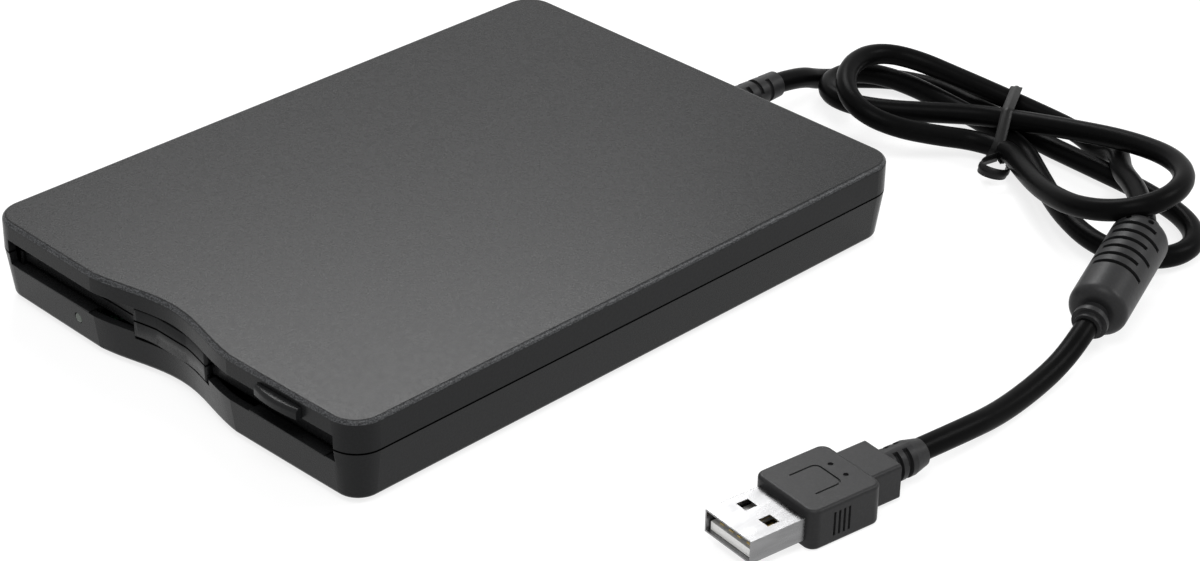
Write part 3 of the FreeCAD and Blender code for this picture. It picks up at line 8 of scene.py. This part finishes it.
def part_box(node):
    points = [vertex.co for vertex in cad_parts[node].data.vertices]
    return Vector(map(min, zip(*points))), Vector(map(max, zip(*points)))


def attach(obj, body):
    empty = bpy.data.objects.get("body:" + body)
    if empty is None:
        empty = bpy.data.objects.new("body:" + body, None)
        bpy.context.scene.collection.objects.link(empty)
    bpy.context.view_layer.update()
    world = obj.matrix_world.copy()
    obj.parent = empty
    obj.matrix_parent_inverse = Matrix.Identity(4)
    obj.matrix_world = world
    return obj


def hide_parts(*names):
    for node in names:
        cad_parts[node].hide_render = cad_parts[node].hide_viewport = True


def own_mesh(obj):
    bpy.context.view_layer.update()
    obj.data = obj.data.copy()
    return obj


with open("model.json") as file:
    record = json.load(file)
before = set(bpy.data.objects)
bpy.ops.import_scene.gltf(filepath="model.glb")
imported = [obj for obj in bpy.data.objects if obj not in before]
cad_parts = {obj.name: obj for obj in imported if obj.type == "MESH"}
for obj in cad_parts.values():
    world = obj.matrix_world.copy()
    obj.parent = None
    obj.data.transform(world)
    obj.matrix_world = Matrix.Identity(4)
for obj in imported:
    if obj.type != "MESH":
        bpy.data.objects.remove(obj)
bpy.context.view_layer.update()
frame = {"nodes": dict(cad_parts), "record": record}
MM = 0.001

# Camera, fitted to the outline of the drive in the photograph
camera_azimuth = 44.73
camera_elevation = 30.23
camera_roll = 0.87
camera_distance = 649.4
camera_target = (-8.42, 45.01, -24.32)
camera_lens = 93.11
camera_shift = (0.01293, -0.0040)
sensor_width = 36.0
nearest_seen = 0.01

# Cord: its size, the tie that holds it and its route, in millimetres
cord_diameter = 4.4
tie_x = 42.9
tie_y = 116.7
tie_heading = 29.0
tie_width = 2.4
tie_thickness = 0.6
tie_steps = 56
lead_points = [
    (2.6, 90.0, 9.0),
    (2.4, 98.0, 8.0),
    (1.2, 106.5, 3.9),
    (3.0, 114.5, 2.2),
    (9.5, 120.8, 2.2),
    (18.0, 124.2, 2.2),
    (26.5, 124.6, 2.2),
]
tie_crossings = {1: (4.4, 2.9), 2: (2.3, 2.9), 3: (-0.4, 6.9), 4: (-4.6, 2.9), 5: (9.7, 6.9)}
# Loops in their order along the cord: first crossing, last crossing, side of the tie,
# length, width, heading, lean, lift and fullness
hank_loops = [
    (1, 2, 1, 59.9, 23.6, -50.6, 2.2, 0.0, 1.53),
    (2, 3, -1, 38.1, -19.8, -9.3, 0.2, 1.4, 1.59),
    (3, 4, 1, 55.3, 27.8, -36.6, -12.0, 12.3, 1.9),
    (4, 5, -1, 33.1, 20.3, 1.7, 1.1, 7.0, 1.51),
]
loop_steps = 12
loop_roundness = 0.65
loop_pinch = 1.3
last_strand_points = [
    (43.8, 125.9, 5.3),
    (54.4, 127.5, 3.8),
    (62.6, 124.4, 3.0),
    (69.3, 121.0, 7.3),
    (75.2, 113.5, 7.9),
    (83.2, 107.0, 9.9),
    (90.3, 99.8, 10.8),
]
core_top = (95.9, 93.5, 11.1)
core_steps = (0.5, 8.0, 17.0, 26.0)
plug_lead_points = [
    (106.0, 61.9, 6.2),
    (107.5, 53.0, 3.2),
    (108.6, 43.0, 2.2),
    (109.6, 32.0, 2.3),
    (110.1, 22.0, 3.6),
    (109.0, 10.2, 4.0),
]
# Where the strands pass through the tie: offset across the bundle and height
tie_strands = [(7.2, 2.6), (-1.5, 3.0), (-1.6, 7.3), (-8.0, 3.7), (9.1, 6.8)]

# Spare length of the tie: a flat folded eye, a loose end and the twist that joins them
knot_place = (2.4, -8.2, 2.2)
eye_length = 10.4
eye_half_width = 3.0
eye_rise = 1.0
eye_slope = 0.7
eye_open = 0.06
eye_steps = 26
eye_side = (0.2, 0.25, 0.95)
end_start = (0.8, -9.3, 1.8)
end_step = (1.1, 0.25, 0.35)
end_points = 7
end_side = (0.0, 0.1, 1.0)
twist_turns = 2.2
twist_radius = 0.9
twist_rise = 0.4
twist_step = (0.05, -0.16, 0.03)
twist_steps = 24
twist_narrowing = 0.45
twist_side = (0, 1, 0.1)

# Lead screw and eject springs, in millimetres
screw_lead = 3.75
screw_groove = 0.22
screw_plain_end = 2.2
groove_half_share = 0.3
groove_steepness = 1.6
screw_around = 20
screw_rows = 100
spring_coils = 13
spring_wire = 0.14
spring_coil_radius = 0.55
spring_wire_sides = 6
spring_coil_steps = 14

# Pieces moulded onto the cord, duller and lighter than its sheath
moulded_nodes = ("strain_relief", "ferrite_core", "plug_overmould")

# Raised middle of the dust door, which follows the wave of the front, in millimetres
nose_half = 10.6
nose_low = 7.6
nose_gap = 0.1
nose_least = 0.02
nose_overlap = 0.05
nose_bevel = 0.3
nose_columns = 29
wave_centre = -1.0
wave_half_width = 22.0
wave_depth = 3.5
case_front = -71.0

# Finish of the case, in metres: its parting line, and the height above which its rim carries a painted
# sparkly highlight
parting_height = 0.011
parting_half = 0.0002
parting_shade = 0.06
rim_height = 0.01685
# How many times lighter the painted highlight on the rim is
rim_painted_highlight = 9.0
rim_grain = 3800.0
case_gloss = 0.1

# How dark the photograph shows a colour beside the one in the record
photo_shade = {
    "case_plastic": 0.14,
    "cord_pvc": 0.05,
    "moulded_pvc": 0.28,
    "tie_plastic": 0.12,
    "bright_steel": 0.3,
}

# Floor, surroundings and lamps, in metres and watts
floor_half = 2.5
floor_height = -0.0001
floor_glow = 0.80
floor_paper = 0.27
world_strength = 0.36
# Each lamp's name, place, aim, width and power
lamps = [
    ("key", (-0.50, 0.41, 0.66), (0.02, 0.0, 0), 0.36, 4.3),
    ("overhead", (0.30, -0.30, 0.90), (0.02, 0.0, 0), 0.5, 5.0),
    ("rim", (0.52, 0.62, 0.60), (0.04, 0.0, 0), 0.3, 3.0),
]


def make_camera():
    """The photographer's place, with the lens and the tilt of the photograph."""
    azimuth = math.radians(camera_azimuth)
    elevation = math.radians(camera_elevation)
    back = Vector((
        math.cos(elevation) * math.sin(azimuth),
        -math.cos(elevation) * math.cos(azimuth),
        math.sin(elevation),
    ))
    data = bpy.data.cameras.new("camera")
    data.lens = camera_lens
    data.sensor_width = sensor_width
    data.shift_x, data.shift_y = camera_shift
    data.clip_start = nearest_seen
    camera = bpy.data.objects.new("camera", data)
    camera.location = (Vector(camera_target) + back * camera_distance) * MM
    camera.rotation_mode = "QUATERNION"
    roll = Quaternion((0, 0, 1), math.radians(camera_roll))
    camera.rotation_quaternion = (-back).to_track_quat("-Z", "Y") @ roll
    bpy.context.collection.objects.link(camera)
    bpy.context.scene.camera = camera


def tie_point(along, offset, height):
    """A place given along the tie's axis, across the bundle and over the table."""
    heading = math.radians(tie_heading)
    x = tie_x - math.sin(heading) * offset + math.cos(heading) * along
    y = tie_y + math.cos(heading) * offset + math.sin(heading) * along
    return Vector((x, y, height))


def loop_points(first, last, side, length, width, heading, lean, lift, fullness):
    """One teardrop of cord that leaves the tie, turns round and comes back to it."""
    start = tie_point(side, *tie_crossings[first])
    end = tie_point(side, *tie_crossings[last])
    angle = math.radians(tie_heading + heading)
    ahead = (side * math.cos(angle), side * math.sin(angle))
    aside = (-ahead[1], ahead[0])
    points = []
    for i in range(1, loop_steps):
        t = i / loop_steps
        rise = math.sin(math.pi * t)
        swell = rise**2
        ease = t * t * (3 - 2 * t)
        out = length * rise**fullness
        over = loop_roundness * width * math.sin(2 * math.pi * t) * rise**loop_pinch + lean * swell
        x = start[0] * (1 - ease) + end[0] * ease + out * ahead[0] + over * aside[0]
        y = start[1] * (1 - ease) + end[1] * ease + out * ahead[1] + over * aside[1]
        z = start[2] * (1 - ease) + end[2] * ease + lift * swell
        points.append((x, y, z))
    return points


def cord_route():
    """Points of the whole cord, from the strain relief to the plug."""
    points = list(lead_points)
    for loop in hank_loops:
        points += loop_points(*loop)
    points += last_strand_points
    top = Vector(core_top)
    axis = (Vector(plug_lead_points[0]) - top).normalized()
    points += [tuple(top + axis * step) for step in core_steps]
    return points + plug_lead_points


def make_cord():
    """Round cord along its route. Each point's radius scales a bevel one metre deep."""
    route = [Vector(p) * MM for p in cord_route()]
    curve = bpy.data.curves.new("usb_cord", "CURVE")
    curve.dimensions = "3D"
    curve.bevel_depth = 1.0
    curve.bevel_resolution = 6
    curve.use_fill_caps = True
    spline = curve.splines.new("NURBS")
    spline.points.add(len(route) - 1)
    for point, place in zip(spline.points, route):
        point.co = (*place, 1.0)
        point.radius = cord_diameter / 2 * MM
    spline.order_u = 3
    spline.use_endpoint_u = True
    spline.resolution_u = 10
    cord = bpy.data.objects.new("usb_cord", curve)
    bpy.context.collection.objects.link(cord)
    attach(cord, "case")
    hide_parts("cord_lead", "cord_hank", "cord_core_lead", "cord_plug_lead")
    return cord, route, spline.calc_length()


def mesh_object(name, points, faces):
    """Smooth mesh in the scene from its points and faces."""
    mesh = bpy.data.meshes.new(name)
    mesh.from_pydata([tuple(p) for p in points], [], faces)
    for polygon in mesh.polygons:
        polygon.use_smooth = True
    thing = bpy.data.objects.new(name, mesh)
    bpy.context.collection.objects.link(thing)
    return thing


def grid_faces(rows, around, closed, first=0):
    """Faces between rows of points, joined end to end or closed with a cap at each end."""
    faces = []
    for i in range(rows if closed else rows - 1):
        here = first + i * around
        after = first + ((i + 1) % rows) * around
        for j in range(around):
            k = (j + 1) % around
            faces.append((here + j, here + k, after + k, after + j))
    if not closed:
        faces.append(tuple(first + j for j in reversed(range(around))))
        faces.append(tuple(first + (rows - 1) * around + j for j in range(around)))
    return faces


def swept(path, section, side, closed, first=0):
    """Points and faces of a section carried along a path, its width kept near a direction."""
    points = []
    count = len(path)
    for i, place in enumerate(path):
        before = path[(i - 1) % count] if closed or i else path[0]
        after = path[(i + 1) % count] if closed or i < count - 1 else path[-1]
        tangent = (after - before).normalized()
        outward = tangent.cross(side).normalized()
        across = outward.cross(tangent).normalized()
        for u, v in section:
            points.append((place + across * u + outward * v) * MM)
    return points, grid_faces(count, len(section), closed, first)


def band_section():
    """Flat band with a wire down its middle."""
    half = tie_width / 2
    thick = tie_thickness / 2
    upper = [(half, -0.08), (half, 0.08), (0.42 * half, 0.4 * thick), (0.22 * half, thick)]
    upper += [(-u, v) for u, v in reversed(upper[1:])]
    lower = [(-u, -v) for u, v in upper]
    return upper + lower[1:-1]


def tie_ring():
    """Path of the band pulled tight round the strands, resting on the table below."""
    reach = (cord_diameter + tie_thickness) / 2
    path = []
    for i in range(tie_steps):
        angle = 2 * math.pi * i / tie_steps
        out = (math.cos(angle), math.sin(angle))
        strand = max(tie_strands, key=lambda s: s[0] * out[0] + s[1] * out[1])
        offset = strand[0] + reach * out[0]
        height = max(strand[1] + reach * out[1], tie_thickness / 2)
        path.append(tie_point(0.9 * math.sin(angle), offset, height))
    return path


def tie_eye(knot):
    path = []
    for i in range(eye_steps + 1):
        t = eye_open + (1 - 2 * eye_open) * i / eye_steps
        out = eye_length * math.sin(math.pi * t) ** 0.8
        over = eye_half_width * math.sin(2 * math.pi * t)
        lift = eye_rise * math.sin(math.pi * t) + eye_slope * math.cos(math.pi * t)
        path.append(knot + Vector((0.30 * out - 0.9 * over, -0.95 * out - 0.32 * over, lift)))
    return path


def tie_end():
    starts_and_steps = list(zip(end_start, end_step))
    return [tie_point(*(start + step * i for start, step in starts_and_steps)) for i in range(end_points)]


def tie_twist(knot):
    path = []
    for i in range(twist_steps + 1):
        angle = 2 * math.pi * twist_turns * i / twist_steps
        centre = knot + Vector(twist_step) * i
        round_x = twist_radius * math.cos(angle)
        round_z = twist_radius * math.sin(angle) + twist_rise
        path.append(centre + Vector((round_x, 0, round_z)))
    return path


def make_tie():
    """Twisted tie: ring round the strands, folded eye, loose end and the twist between them."""
    heading = math.radians(tie_heading)
    along = Vector((math.cos(heading), math.sin(heading), 0))
    knot = tie_point(*knot_place)
    section = band_section()
    slim = [(twist_narrowing * u, v) for u, v in section]
    runs = [
        (tie_ring(), section, along, True),
        (tie_eye(knot), section, Vector(eye_side), False),
        (tie_end(), section, Vector(end_side), False),
        (tie_twist(knot), slim, Vector(twist_side), False),
    ]
    points = []
    faces = []
    for path, shape, side, closed in runs:
        more, more_faces = swept(path, shape, side, closed, len(points))
        points += more
        faces += more_faces
    tie = mesh_object("twist_tie", points, faces)
    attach(tie, "case")
    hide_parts("cord_tie")
    return tie


def make_lead_screw():
    """Steel screw with one coarse right-hand groove."""
    low, high = (Vector(corner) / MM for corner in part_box("lead_screw"))
    radius = (high.x - low.x) / 2
    centre = (low + high) / 2
    points = []
    for i in range(screw_rows):
        y = low.y + (high.y - low.y) * i / (screw_rows - 1)
        plain = min(y - low.y, high.y - y) < screw_plain_end
        for j in range(screw_around):
            angle = 2 * math.pi * j / screw_around
            near = (angle / (2 * math.pi) - y / screw_lead) % 1.0
            dip = max(0.0, 1.0 - abs(near - 0.5) / groove_half_share)
            r = radius - (0 if plain else screw_groove * min(1.0, groove_steepness * dip))
            x = centre.x + r * math.sin(angle)
            z = centre.z + r * math.cos(angle)
            points.append(Vector((x, y, z)) * MM)
    screw = mesh_object("lead_screw_thread", points, grid_faces(screw_rows, screw_around, False))
    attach(screw, "screw")
    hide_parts("lead_screw")
    return screw


def make_springs():
    """Two drawn coil springs, carried with the case."""
    low, high = (Vector(corner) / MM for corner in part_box("eject_springs"))
    radius = (high.z - low.z) / 2
    points = []
    faces = []
    section = []
    for j in range(spring_wire_sides):
        angle = 2 * math.pi * j / spring_wire_sides
        section.append((spring_wire * math.cos(angle), spring_wire * math.sin(angle)))
    steps = spring_coils * spring_coil_steps
    for x in (low.x + radius, high.x - radius):
        path = []
        for i in range(steps + 1):
            share = i / steps
            angle = 2 * math.pi * spring_coils * share
            y = low.y + (high.y - low.y) * share
            offset = Vector((math.sin(angle), 0, math.cos(angle))) * spring_coil_radius
            path.append(Vector((x, y, low.z + radius)) + offset)
        more, more_faces = swept(path, section, Vector((0, 1, 0)), False, len(points))
        points += more
        faces += more_faces
    springs = mesh_object("eject_coil_springs", points, faces)
    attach(springs, "case")
    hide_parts("eject_springs")
    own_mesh(springs)
    return springs


def make_door_nose():
    """Raised middle of the dust door, flush with the wave of the front."""
    low, high = (Vector(corner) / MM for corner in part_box("dust_door"))
    points = []
    for i in range(nose_columns):
        x = nose_half * (2 * i / (nose_columns - 1) - 1)
        wave = wave_depth * (1 + math.cos(math.pi * (x - wave_centre) / wave_half_width)) / 2
        front = min(case_front + wave + nose_gap, low.y - nose_least)
        back = low.y + nose_overlap
        bevel = min(nose_bevel, (back - front) / 2)
        rim = ((back, nose_low), (front + bevel, nose_low), (front, nose_low + bevel))
        rim += ((front, high.z - bevel), (front + bevel, high.z), (back, high.z))
        points += [Vector((x, y, z)) * MM for y, z in rim]
    nose = mesh_object("dust_door_nose", points, grid_faces(nose_columns, len(rim), False))
    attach(nose, "door")
    return nose


class Shader:
    """A material's node tree with short calls for the nodes that the finishes share."""

    def __init__(self, name):
        self.material = bpy.data.materials.new(name)
        self.material.use_nodes = True
        self.nodes = self.material.node_tree.nodes
        self.links = self.material.node_tree.links
        self.surface = self.nodes["Principled BSDF"]
        self.place = self.nodes.new("ShaderNodeTexCoord").outputs["Object"]

    def link(self, source, target):
        self.links.new(source, target)

    def stretched(self, x, y, z):
        scale = self.nodes.new("ShaderNodeVectorMath")
        scale.operation = "MULTIPLY"
        scale.inputs[1].default_value = (x, y, z)
        self.link(self.place, scale.inputs[0])
        return scale.outputs[0]

    def noise(self, scale, detail=3.0, place=None):
        node = self.nodes.new("ShaderNodeTexNoise")
        node.inputs["Scale"].default_value = scale
        node.inputs["Detail"].default_value = detail
        node.inputs["Roughness"].default_value = 0.6
        self.link(place or self.place, node.inputs["Vector"])
        return node.outputs["Fac"]

    def cells(self, scale, place=None):
        node = self.nodes.new("ShaderNodeTexVoronoi")
        node.inputs["Scale"].default_value = scale
        self.link(place or self.place, node.inputs["Vector"])
        return node

    def ranged(self, value, low, high, start=0.3, end=0.7):
        node = self.nodes.new("ShaderNodeMapRange")
        node.inputs["From Min"].default_value = start
        node.inputs["From Max"].default_value = end
        node.inputs["To Min"].default_value = low
        node.inputs["To Max"].default_value = high
        self.link(value, node.inputs["Value"])
        return node.outputs["Result"]

    def math(self, operation, first, second=None):
        node = self.nodes.new("ShaderNodeMath")
        node.operation = operation
        for slot, value in zip(node.inputs, (first, second)):
            if isinstance(value, (int, float)):
                slot.default_value = value
            elif value is not None:
                self.link(value, slot)
        return node.outputs[0]

    def mixed(self, share, first, second):
        node = self.nodes.new("ShaderNodeMix")
        node.data_type = "RGBA"
        for slot, value in ((node.inputs[6], first), (node.inputs[7], second)):
            if isinstance(value, tuple):
                slot.default_value = (*value[:3], 1.0)
            else:
                self.link(value, slot)
        self.link(share, node.inputs[0])
        return node.outputs[2]

    def colour(self, value):
        self.link(value, self.surface.inputs["Base Color"])

    def roughness(self, value):
        self.link(value, self.surface.inputs["Roughness"])

    def relief(self, height, depth, edge=0.00015):
        """Bump of a given depth in metres over edges rounded by a given radius."""
        bevel = self.nodes.new("ShaderNodeBevel")
        bevel.samples = 4
        bevel.inputs["Radius"].default_value = edge
        bump = self.nodes.new("ShaderNodeBump")
        bump.inputs["Strength"].default_value = 1.0
        bump.inputs["Distance"].default_value = depth
        self.link(bevel.outputs["Normal"], bump.inputs["Normal"])
        self.link(height, bump.inputs["Height"])
        self.link(bump.outputs["Normal"], self.surface.inputs["Normal"])
        return bevel.outputs["Normal"]

    def edge_share(self, rounded):
        """How much a spot's rounded normal leans away from its own face."""
        geometry = self.nodes.new("ShaderNodeNewGeometry")
        dot = self.nodes.new("ShaderNodeVectorMath")
        dot.operation = "DOT_PRODUCT"
        self.link(rounded, dot.inputs[0])
        self.link(geometry.outputs["Normal"], dot.inputs[1])
        return self.ranged(dot.outputs["Value"], 1.0, 0.0, 0.80, 0.995)


def shade(base, amount):
    return tuple(min(1.0, channel * amount) for channel in base)


def plastic(name, base, rough, grain, depth, specular=0.4, edge=0.00015, edge_wear_and_highlight=1.5):
    """Moulded plastic: fine spark texture, cloudy tone, edges painted lighter, partly as rubbed wear and
    partly as a painted highlight.
    """
    s = Shader(name)
    s.surface.inputs["Specular IOR Level"].default_value = specular
    grains = s.noise(grain, 2.0)
    clouds = s.noise(28.0, 5.0)
    toned = s.mixed(s.ranged(clouds, 0.0, 1.0), shade(base, 0.96), shade(base, 1.04))
    speckled = s.mixed(s.ranged(grains, 0.0, 0.5, 0.45, 0.75), toned, shade(base, 1.5))
    rounded = s.relief(grains, depth, edge)
    # Edges painted lighter: partly rubbed wear, partly a painted highlight along the rounded edges
    s.colour(s.mixed(s.edge_share(rounded), speckled, shade(base, edge_wear_and_highlight)))
    s.roughness(s.ranged(s.noise(1100.0, 3.0), rough - 0.03, rough + 0.04))
    return s


def case_plastic(name, base):
    """Textured housing with the dark parting line of its two halves, and a painted sparkly highlight on
    its top rim.
    """
    s = plastic(name, base, 0.27, 2600.0, 0.000012, case_gloss)
    parts = s.nodes.new("ShaderNodeSeparateXYZ")
    s.link(s.place, parts.inputs[0])
    away = s.math("ABSOLUTE", s.math("SUBTRACT", parts.outputs["Z"], parting_height))
    geometry = s.nodes.new("ShaderNodeNewGeometry")
    facing = s.nodes.new("ShaderNodeSeparateXYZ")
    s.link(geometry.outputs["Normal"], facing.inputs[0])
    upright = s.math("LESS_THAN", s.math("ABSOLUTE", facing.outputs["Z"]), 0.5)
    seam = s.math("MULTIPLY", s.math("LESS_THAN", away, parting_half), upright)
    toned = s.surface.inputs["Base Color"].links[0].from_socket
    # Painted highlight: the slanted top rim is made many times lighter in sparks, standing in for the
    # lamps' catch light
    high = s.math("GREATER_THAN", parts.outputs["Z"], rim_height)
    slanted = s.math("MULTIPLY", high, s.math("LESS_THAN", facing.outputs["Z"], 0.93))
    sparks = s.ranged(s.noise(rim_grain, 2.0), 0.1, 1.0, 0.42, 0.62)
    rim_highlight = s.mixed(s.math("MULTIPLY", slanted, sparks), toned, shade(base, rim_painted_highlight))
    s.colour(s.mixed(seam, rim_highlight, shade(base, parting_shade)))
    closed = s.math("SUBTRACT", 1.0, seam)
    s.link(s.math("MULTIPLY", closed, case_gloss), s.surface.inputs["Specular IOR Level"])
    return s


def metal(name, base, rough, stretch, depth, spangle=0.0):
    """Bright metal with drawn lines, and zinc flowers where it is plated sheet."""
    s = Shader(name)
    s.surface.inputs["Metallic"].default_value = 1.0
    lines = s.noise(1.0, 4.0, s.stretched(*stretch))
    toned = s.mixed(s.ranged(lines, 0.0, 1.0), shade(base, 0.86), shade(base, 1.08))
    if spangle:
        flowers = s.cells(190.0).outputs["Distance"]
        share = s.ranged(flowers, 0.0, spangle, 0.1, 0.8)
        toned = s.mixed(share, toned, shade(base, 0.62))
    rounded = s.relief(lines, depth, 0.00012)
    # Edges painted lighter: partly wear, partly a painted highlight along the rounded edges
    s.colour(s.mixed(s.edge_share(rounded), toned, shade(base, 1.25)))
    s.roughness(s.ranged(s.noise(220.0, 5.0), rough - 0.07, rough + 0.1))
    return s


def laminate(name, base):
    """Circuit board: solder mask with tracks and a few round pads."""
    s = Shader(name)
    bricks = s.nodes.new("ShaderNodeTexBrick")
    bricks.inputs["Scale"].default_value = 260.0
    bricks.inputs["Mortar Size"].default_value = 0.06
    bricks.inputs["Color1"].default_value = (*shade(base, 1.0), 1.0)
    bricks.inputs["Color2"].default_value = (*shade(base, 0.8), 1.0)
    bricks.inputs["Mortar"].default_value = (*shade(base, 1.9), 1.0)
    s.link(s.place, bricks.inputs["Vector"])
    pads = s.cells(420.0)
    pad_share = s.math("LESS_THAN", pads.outputs["Distance"], 0.16)
    s.colour(s.mixed(pad_share, bricks.outputs["Color"], (0.55, 0.42, 0.2)))
    s.relief(bricks.outputs["Fac"], 0.00002)
    s.roughness(s.ranged(s.noise(300.0), 0.3, 0.45))
    return s


def winding(name, base):
    """Enamelled wire laid turn by turn, with painted shade between the turns and a painted highlight
    along each.
    """
    s = Shader(name)
    s.surface.inputs["Metallic"].default_value = 0.8
    wave = s.nodes.new("ShaderNodeTexWave")
    wave.wave_type = "RINGS"
    wave.rings_direction = "Z"
    wave.inputs["Scale"].default_value = 700.0
    wave.inputs["Distortion"].default_value = 0.4
    s.link(s.place, wave.inputs["Vector"])
    # Darker rings are painted shade between the turns, lighter rings a painted highlight on each turn
    s.colour(s.mixed(wave.outputs["Fac"], shade(base, 0.45), shade(base, 1.15)))
    s.relief(wave.outputs["Fac"], 0.0001)
    s.roughness(s.ranged(s.noise(400.0), 0.25, 0.42))
    return s


def striped(name, base):
    """Ribbon film with its row of conductors."""
    s = Shader(name)
    wave = s.nodes.new("ShaderNodeTexWave")
    wave.bands_direction = "X"
    wave.inputs["Scale"].default_value = 160.0
    s.link(s.place, wave.inputs["Vector"])
    clear = s.ranged(wave.outputs["Fac"], 0.0, 1.0)
    s.colour(s.mixed(clear, shade(base, 0.55), shade(base, 1.25)))
    s.relief(wave.outputs["Fac"], 0.00004)
    s.roughness(s.ranged(s.noise(300.0), 0.2, 0.32))
    return s


def sheathed(name, base):
    """Soft PVC sheath: smooth, a little waxy, with a faint grain."""
    return plastic(name, base, 0.32, 900.0, 0.00001, 0.022, 0.00025, 1.3)


def smoked(name, base):
    """Tinted clear plastic of the light pipe, with a moulded swirl."""
    s = plastic(name, base, 0.14, 500.0, 0.00001, 0.5, 0.0002, 1.8)
    s.surface.inputs["Transmission Weight"].default_value = 0.35
    return s


def make_materials():
    """Every finish by its slot, from the record's colours and the photograph's tones."""
    colour = {m["slot"]: tuple(m["base_color"]) for m in frame["record"]["materials"]}
    colour["moulded_pvc"] = colour["cord_pvc"]

    def darkened(slot):
        return shade(colour[slot], photo_shade[slot])

    made = {
        "case_plastic": case_plastic("case_plastic", darkened("case_plastic")),
        "feet_rubber": plastic("feet_rubber", colour["feet_rubber"], 0.78, 1800.0, 0.00006, 0.3),
        "cord_pvc": sheathed("cord_pvc", darkened("cord_pvc")),
        "moulded_pvc": plastic("moulded_pvc", darkened("moulded_pvc"), 0.4, 1900.0, 0.00002, 0.14),
        "tie_plastic": plastic("tie_plastic", darkened("tie_plastic"), 0.36, 1500.0, 0.00002, 0.12),
        "light_pipe": smoked("light_pipe", colour["light_pipe"]),
        "chip_plastic": plastic("chip_plastic", colour["chip_plastic"], 0.55, 3500.0, 0.00003),
        "board_laminate": laminate("board_laminate", colour["board_laminate"]),
        "sheet_steel": metal("sheet_steel", colour["sheet_steel"], 0.38, (60, 900, 60), 0.00001, 0.5),
        "bright_steel": metal("bright_steel", darkened("bright_steel"), 0.26, (900, 40, 900), 0.000008),
        "copper_winding": winding("copper_winding", colour["copper_winding"]),
        "magnet_ferrite": plastic("magnet_ferrite", colour["magnet_ferrite"], 0.6, 5000.0, 0.00003),
        "bearing_brass": metal("bearing_brass", colour["bearing_brass"], 0.3, (50, 1200, 50), 0.00001),
        "frame_resin": plastic("frame_resin", colour["frame_resin"], 0.5, 2200.0, 0.00004),
        "ribbon_film": striped("ribbon_film", colour["ribbon_film"]),
        "plug_tongue_white": plastic(
            "plug_tongue_white", colour["plug_tongue_white"], 0.3, 1500.0, 0.00001, 0.5, 0.00015, 1.02
        ),
    }
    return {slot: shader.material for slot, shader in made.items()}


def finish_pieces(materials, cord, tie, screw, springs, nose):
    """Give every carried node and every piece made here its finish."""
    for part in frame["record"]["subparts"]:
        node = frame["nodes"][part["node"]]
        node.data.materials.clear()
        moulded = part["node"] in moulded_nodes
        node.data.materials.append(materials["moulded_pvc" if moulded else part["material_slot"]])
    cord.data.materials.append(materials["cord_pvc"])
    tie.data.materials.append(materials["tie_plastic"])
    screw.data.materials.append(materials["bright_steel"])
    springs.data.materials.append(materials["bright_steel"])
    nose.data.materials.append(materials["case_plastic"])


def make_floor():
    """Pale ground that keeps the drive's soft shadow."""
    turns = ((-1, -1), (1, -1), (1, 1), (-1, 1))
    corners = [(x * floor_half, y * floor_half, floor_height) for x, y in turns]
    floor = mesh_object("floor", [Vector(c) for c in corners], [(0, 1, 2, 3)])
    material = bpy.data.materials.new("floor")
    material.use_nodes = True
    nodes = material.node_tree.nodes
    nodes.clear()
    glow = nodes.new("ShaderNodeEmission")
    glow.inputs["Strength"].default_value = floor_glow
    paper = nodes.new("ShaderNodeBsdfDiffuse")
    paper.inputs["Color"].default_value = (floor_paper, floor_paper, floor_paper, 1.0)
    added = nodes.new("ShaderNodeAddShader")
    output = nodes.new("ShaderNodeOutputMaterial")
    links = material.node_tree.links
    links.new(glow.outputs[0], added.inputs[0])
    links.new(paper.outputs[0], added.inputs[1])
    links.new(added.outputs[0], output.inputs["Surface"])
    floor.data.materials.append(material)
    return floor


def make_light(name, place, aim, size, power):
    """Square lamp turned towards its aim and unseen by the camera."""
    data = bpy.data.lights.new(name, "AREA")
    data.shape = "SQUARE"
    data.size = size
    data.energy = power
    light = bpy.data.objects.new(name, data)
    light.location = place
    light.rotation_mode = "QUATERNION"
    light.rotation_quaternion = (Vector(aim) - Vector(place)).to_track_quat("-Z", "Y")
    light.visible_camera = False
    bpy.context.collection.objects.link(light)
    return light


def make_world():
    """White to the eye and in reflections, softer as a light."""
    world = bpy.data.worlds.new("studio")
    world.use_nodes = True
    bpy.context.scene.world = world
    nodes = world.node_tree.nodes
    links = world.node_tree.links
    nodes.clear()
    path = nodes.new("ShaderNodeLightPath")
    glossy = nodes.new("ShaderNodeMath")
    glossy.operation = "MAXIMUM"
    links.new(path.outputs["Is Camera Ray"], glossy.inputs[0])
    links.new(path.outputs["Is Glossy Ray"], glossy.inputs[1])
    seen = nodes.new("ShaderNodeMath")
    seen.operation = "MAXIMUM"
    links.new(glossy.outputs[0], seen.inputs[0])
    links.new(path.outputs["Is Transmission Ray"], seen.inputs[1])
    soft = nodes.new("ShaderNodeBackground")
    soft.inputs["Color"].default_value = (1.0, 1.0, 1.0, 1.0)
    soft.inputs["Strength"].default_value = world_strength
    white = nodes.new("ShaderNodeBackground")
    white.inputs["Color"].default_value = (1.0, 1.0, 1.0, 1.0)
    white.inputs["Strength"].default_value = 1.0
    mixed = nodes.new("ShaderNodeMixShader")
    output = nodes.new("ShaderNodeOutputWorld")
    links.new(seen.outputs[0], mixed.inputs[0])
    links.new(soft.outputs[0], mixed.inputs[1])
    links.new(white.outputs[0], mixed.inputs[2])
    links.new(mixed.outputs[0], output.inputs["Surface"])


make_camera()
cord, route, cord_length = make_cord()
tie = make_tie()
screw = make_lead_screw()
springs = make_springs()
nose = make_door_nose()
finish_pieces(make_materials(), cord, tie, screw, springs, nose)
floor = make_floor()
lights = [make_light(*lamp) for lamp in lamps]
make_world()
bpy.context.scene.view_settings.view_transform = "Standard"
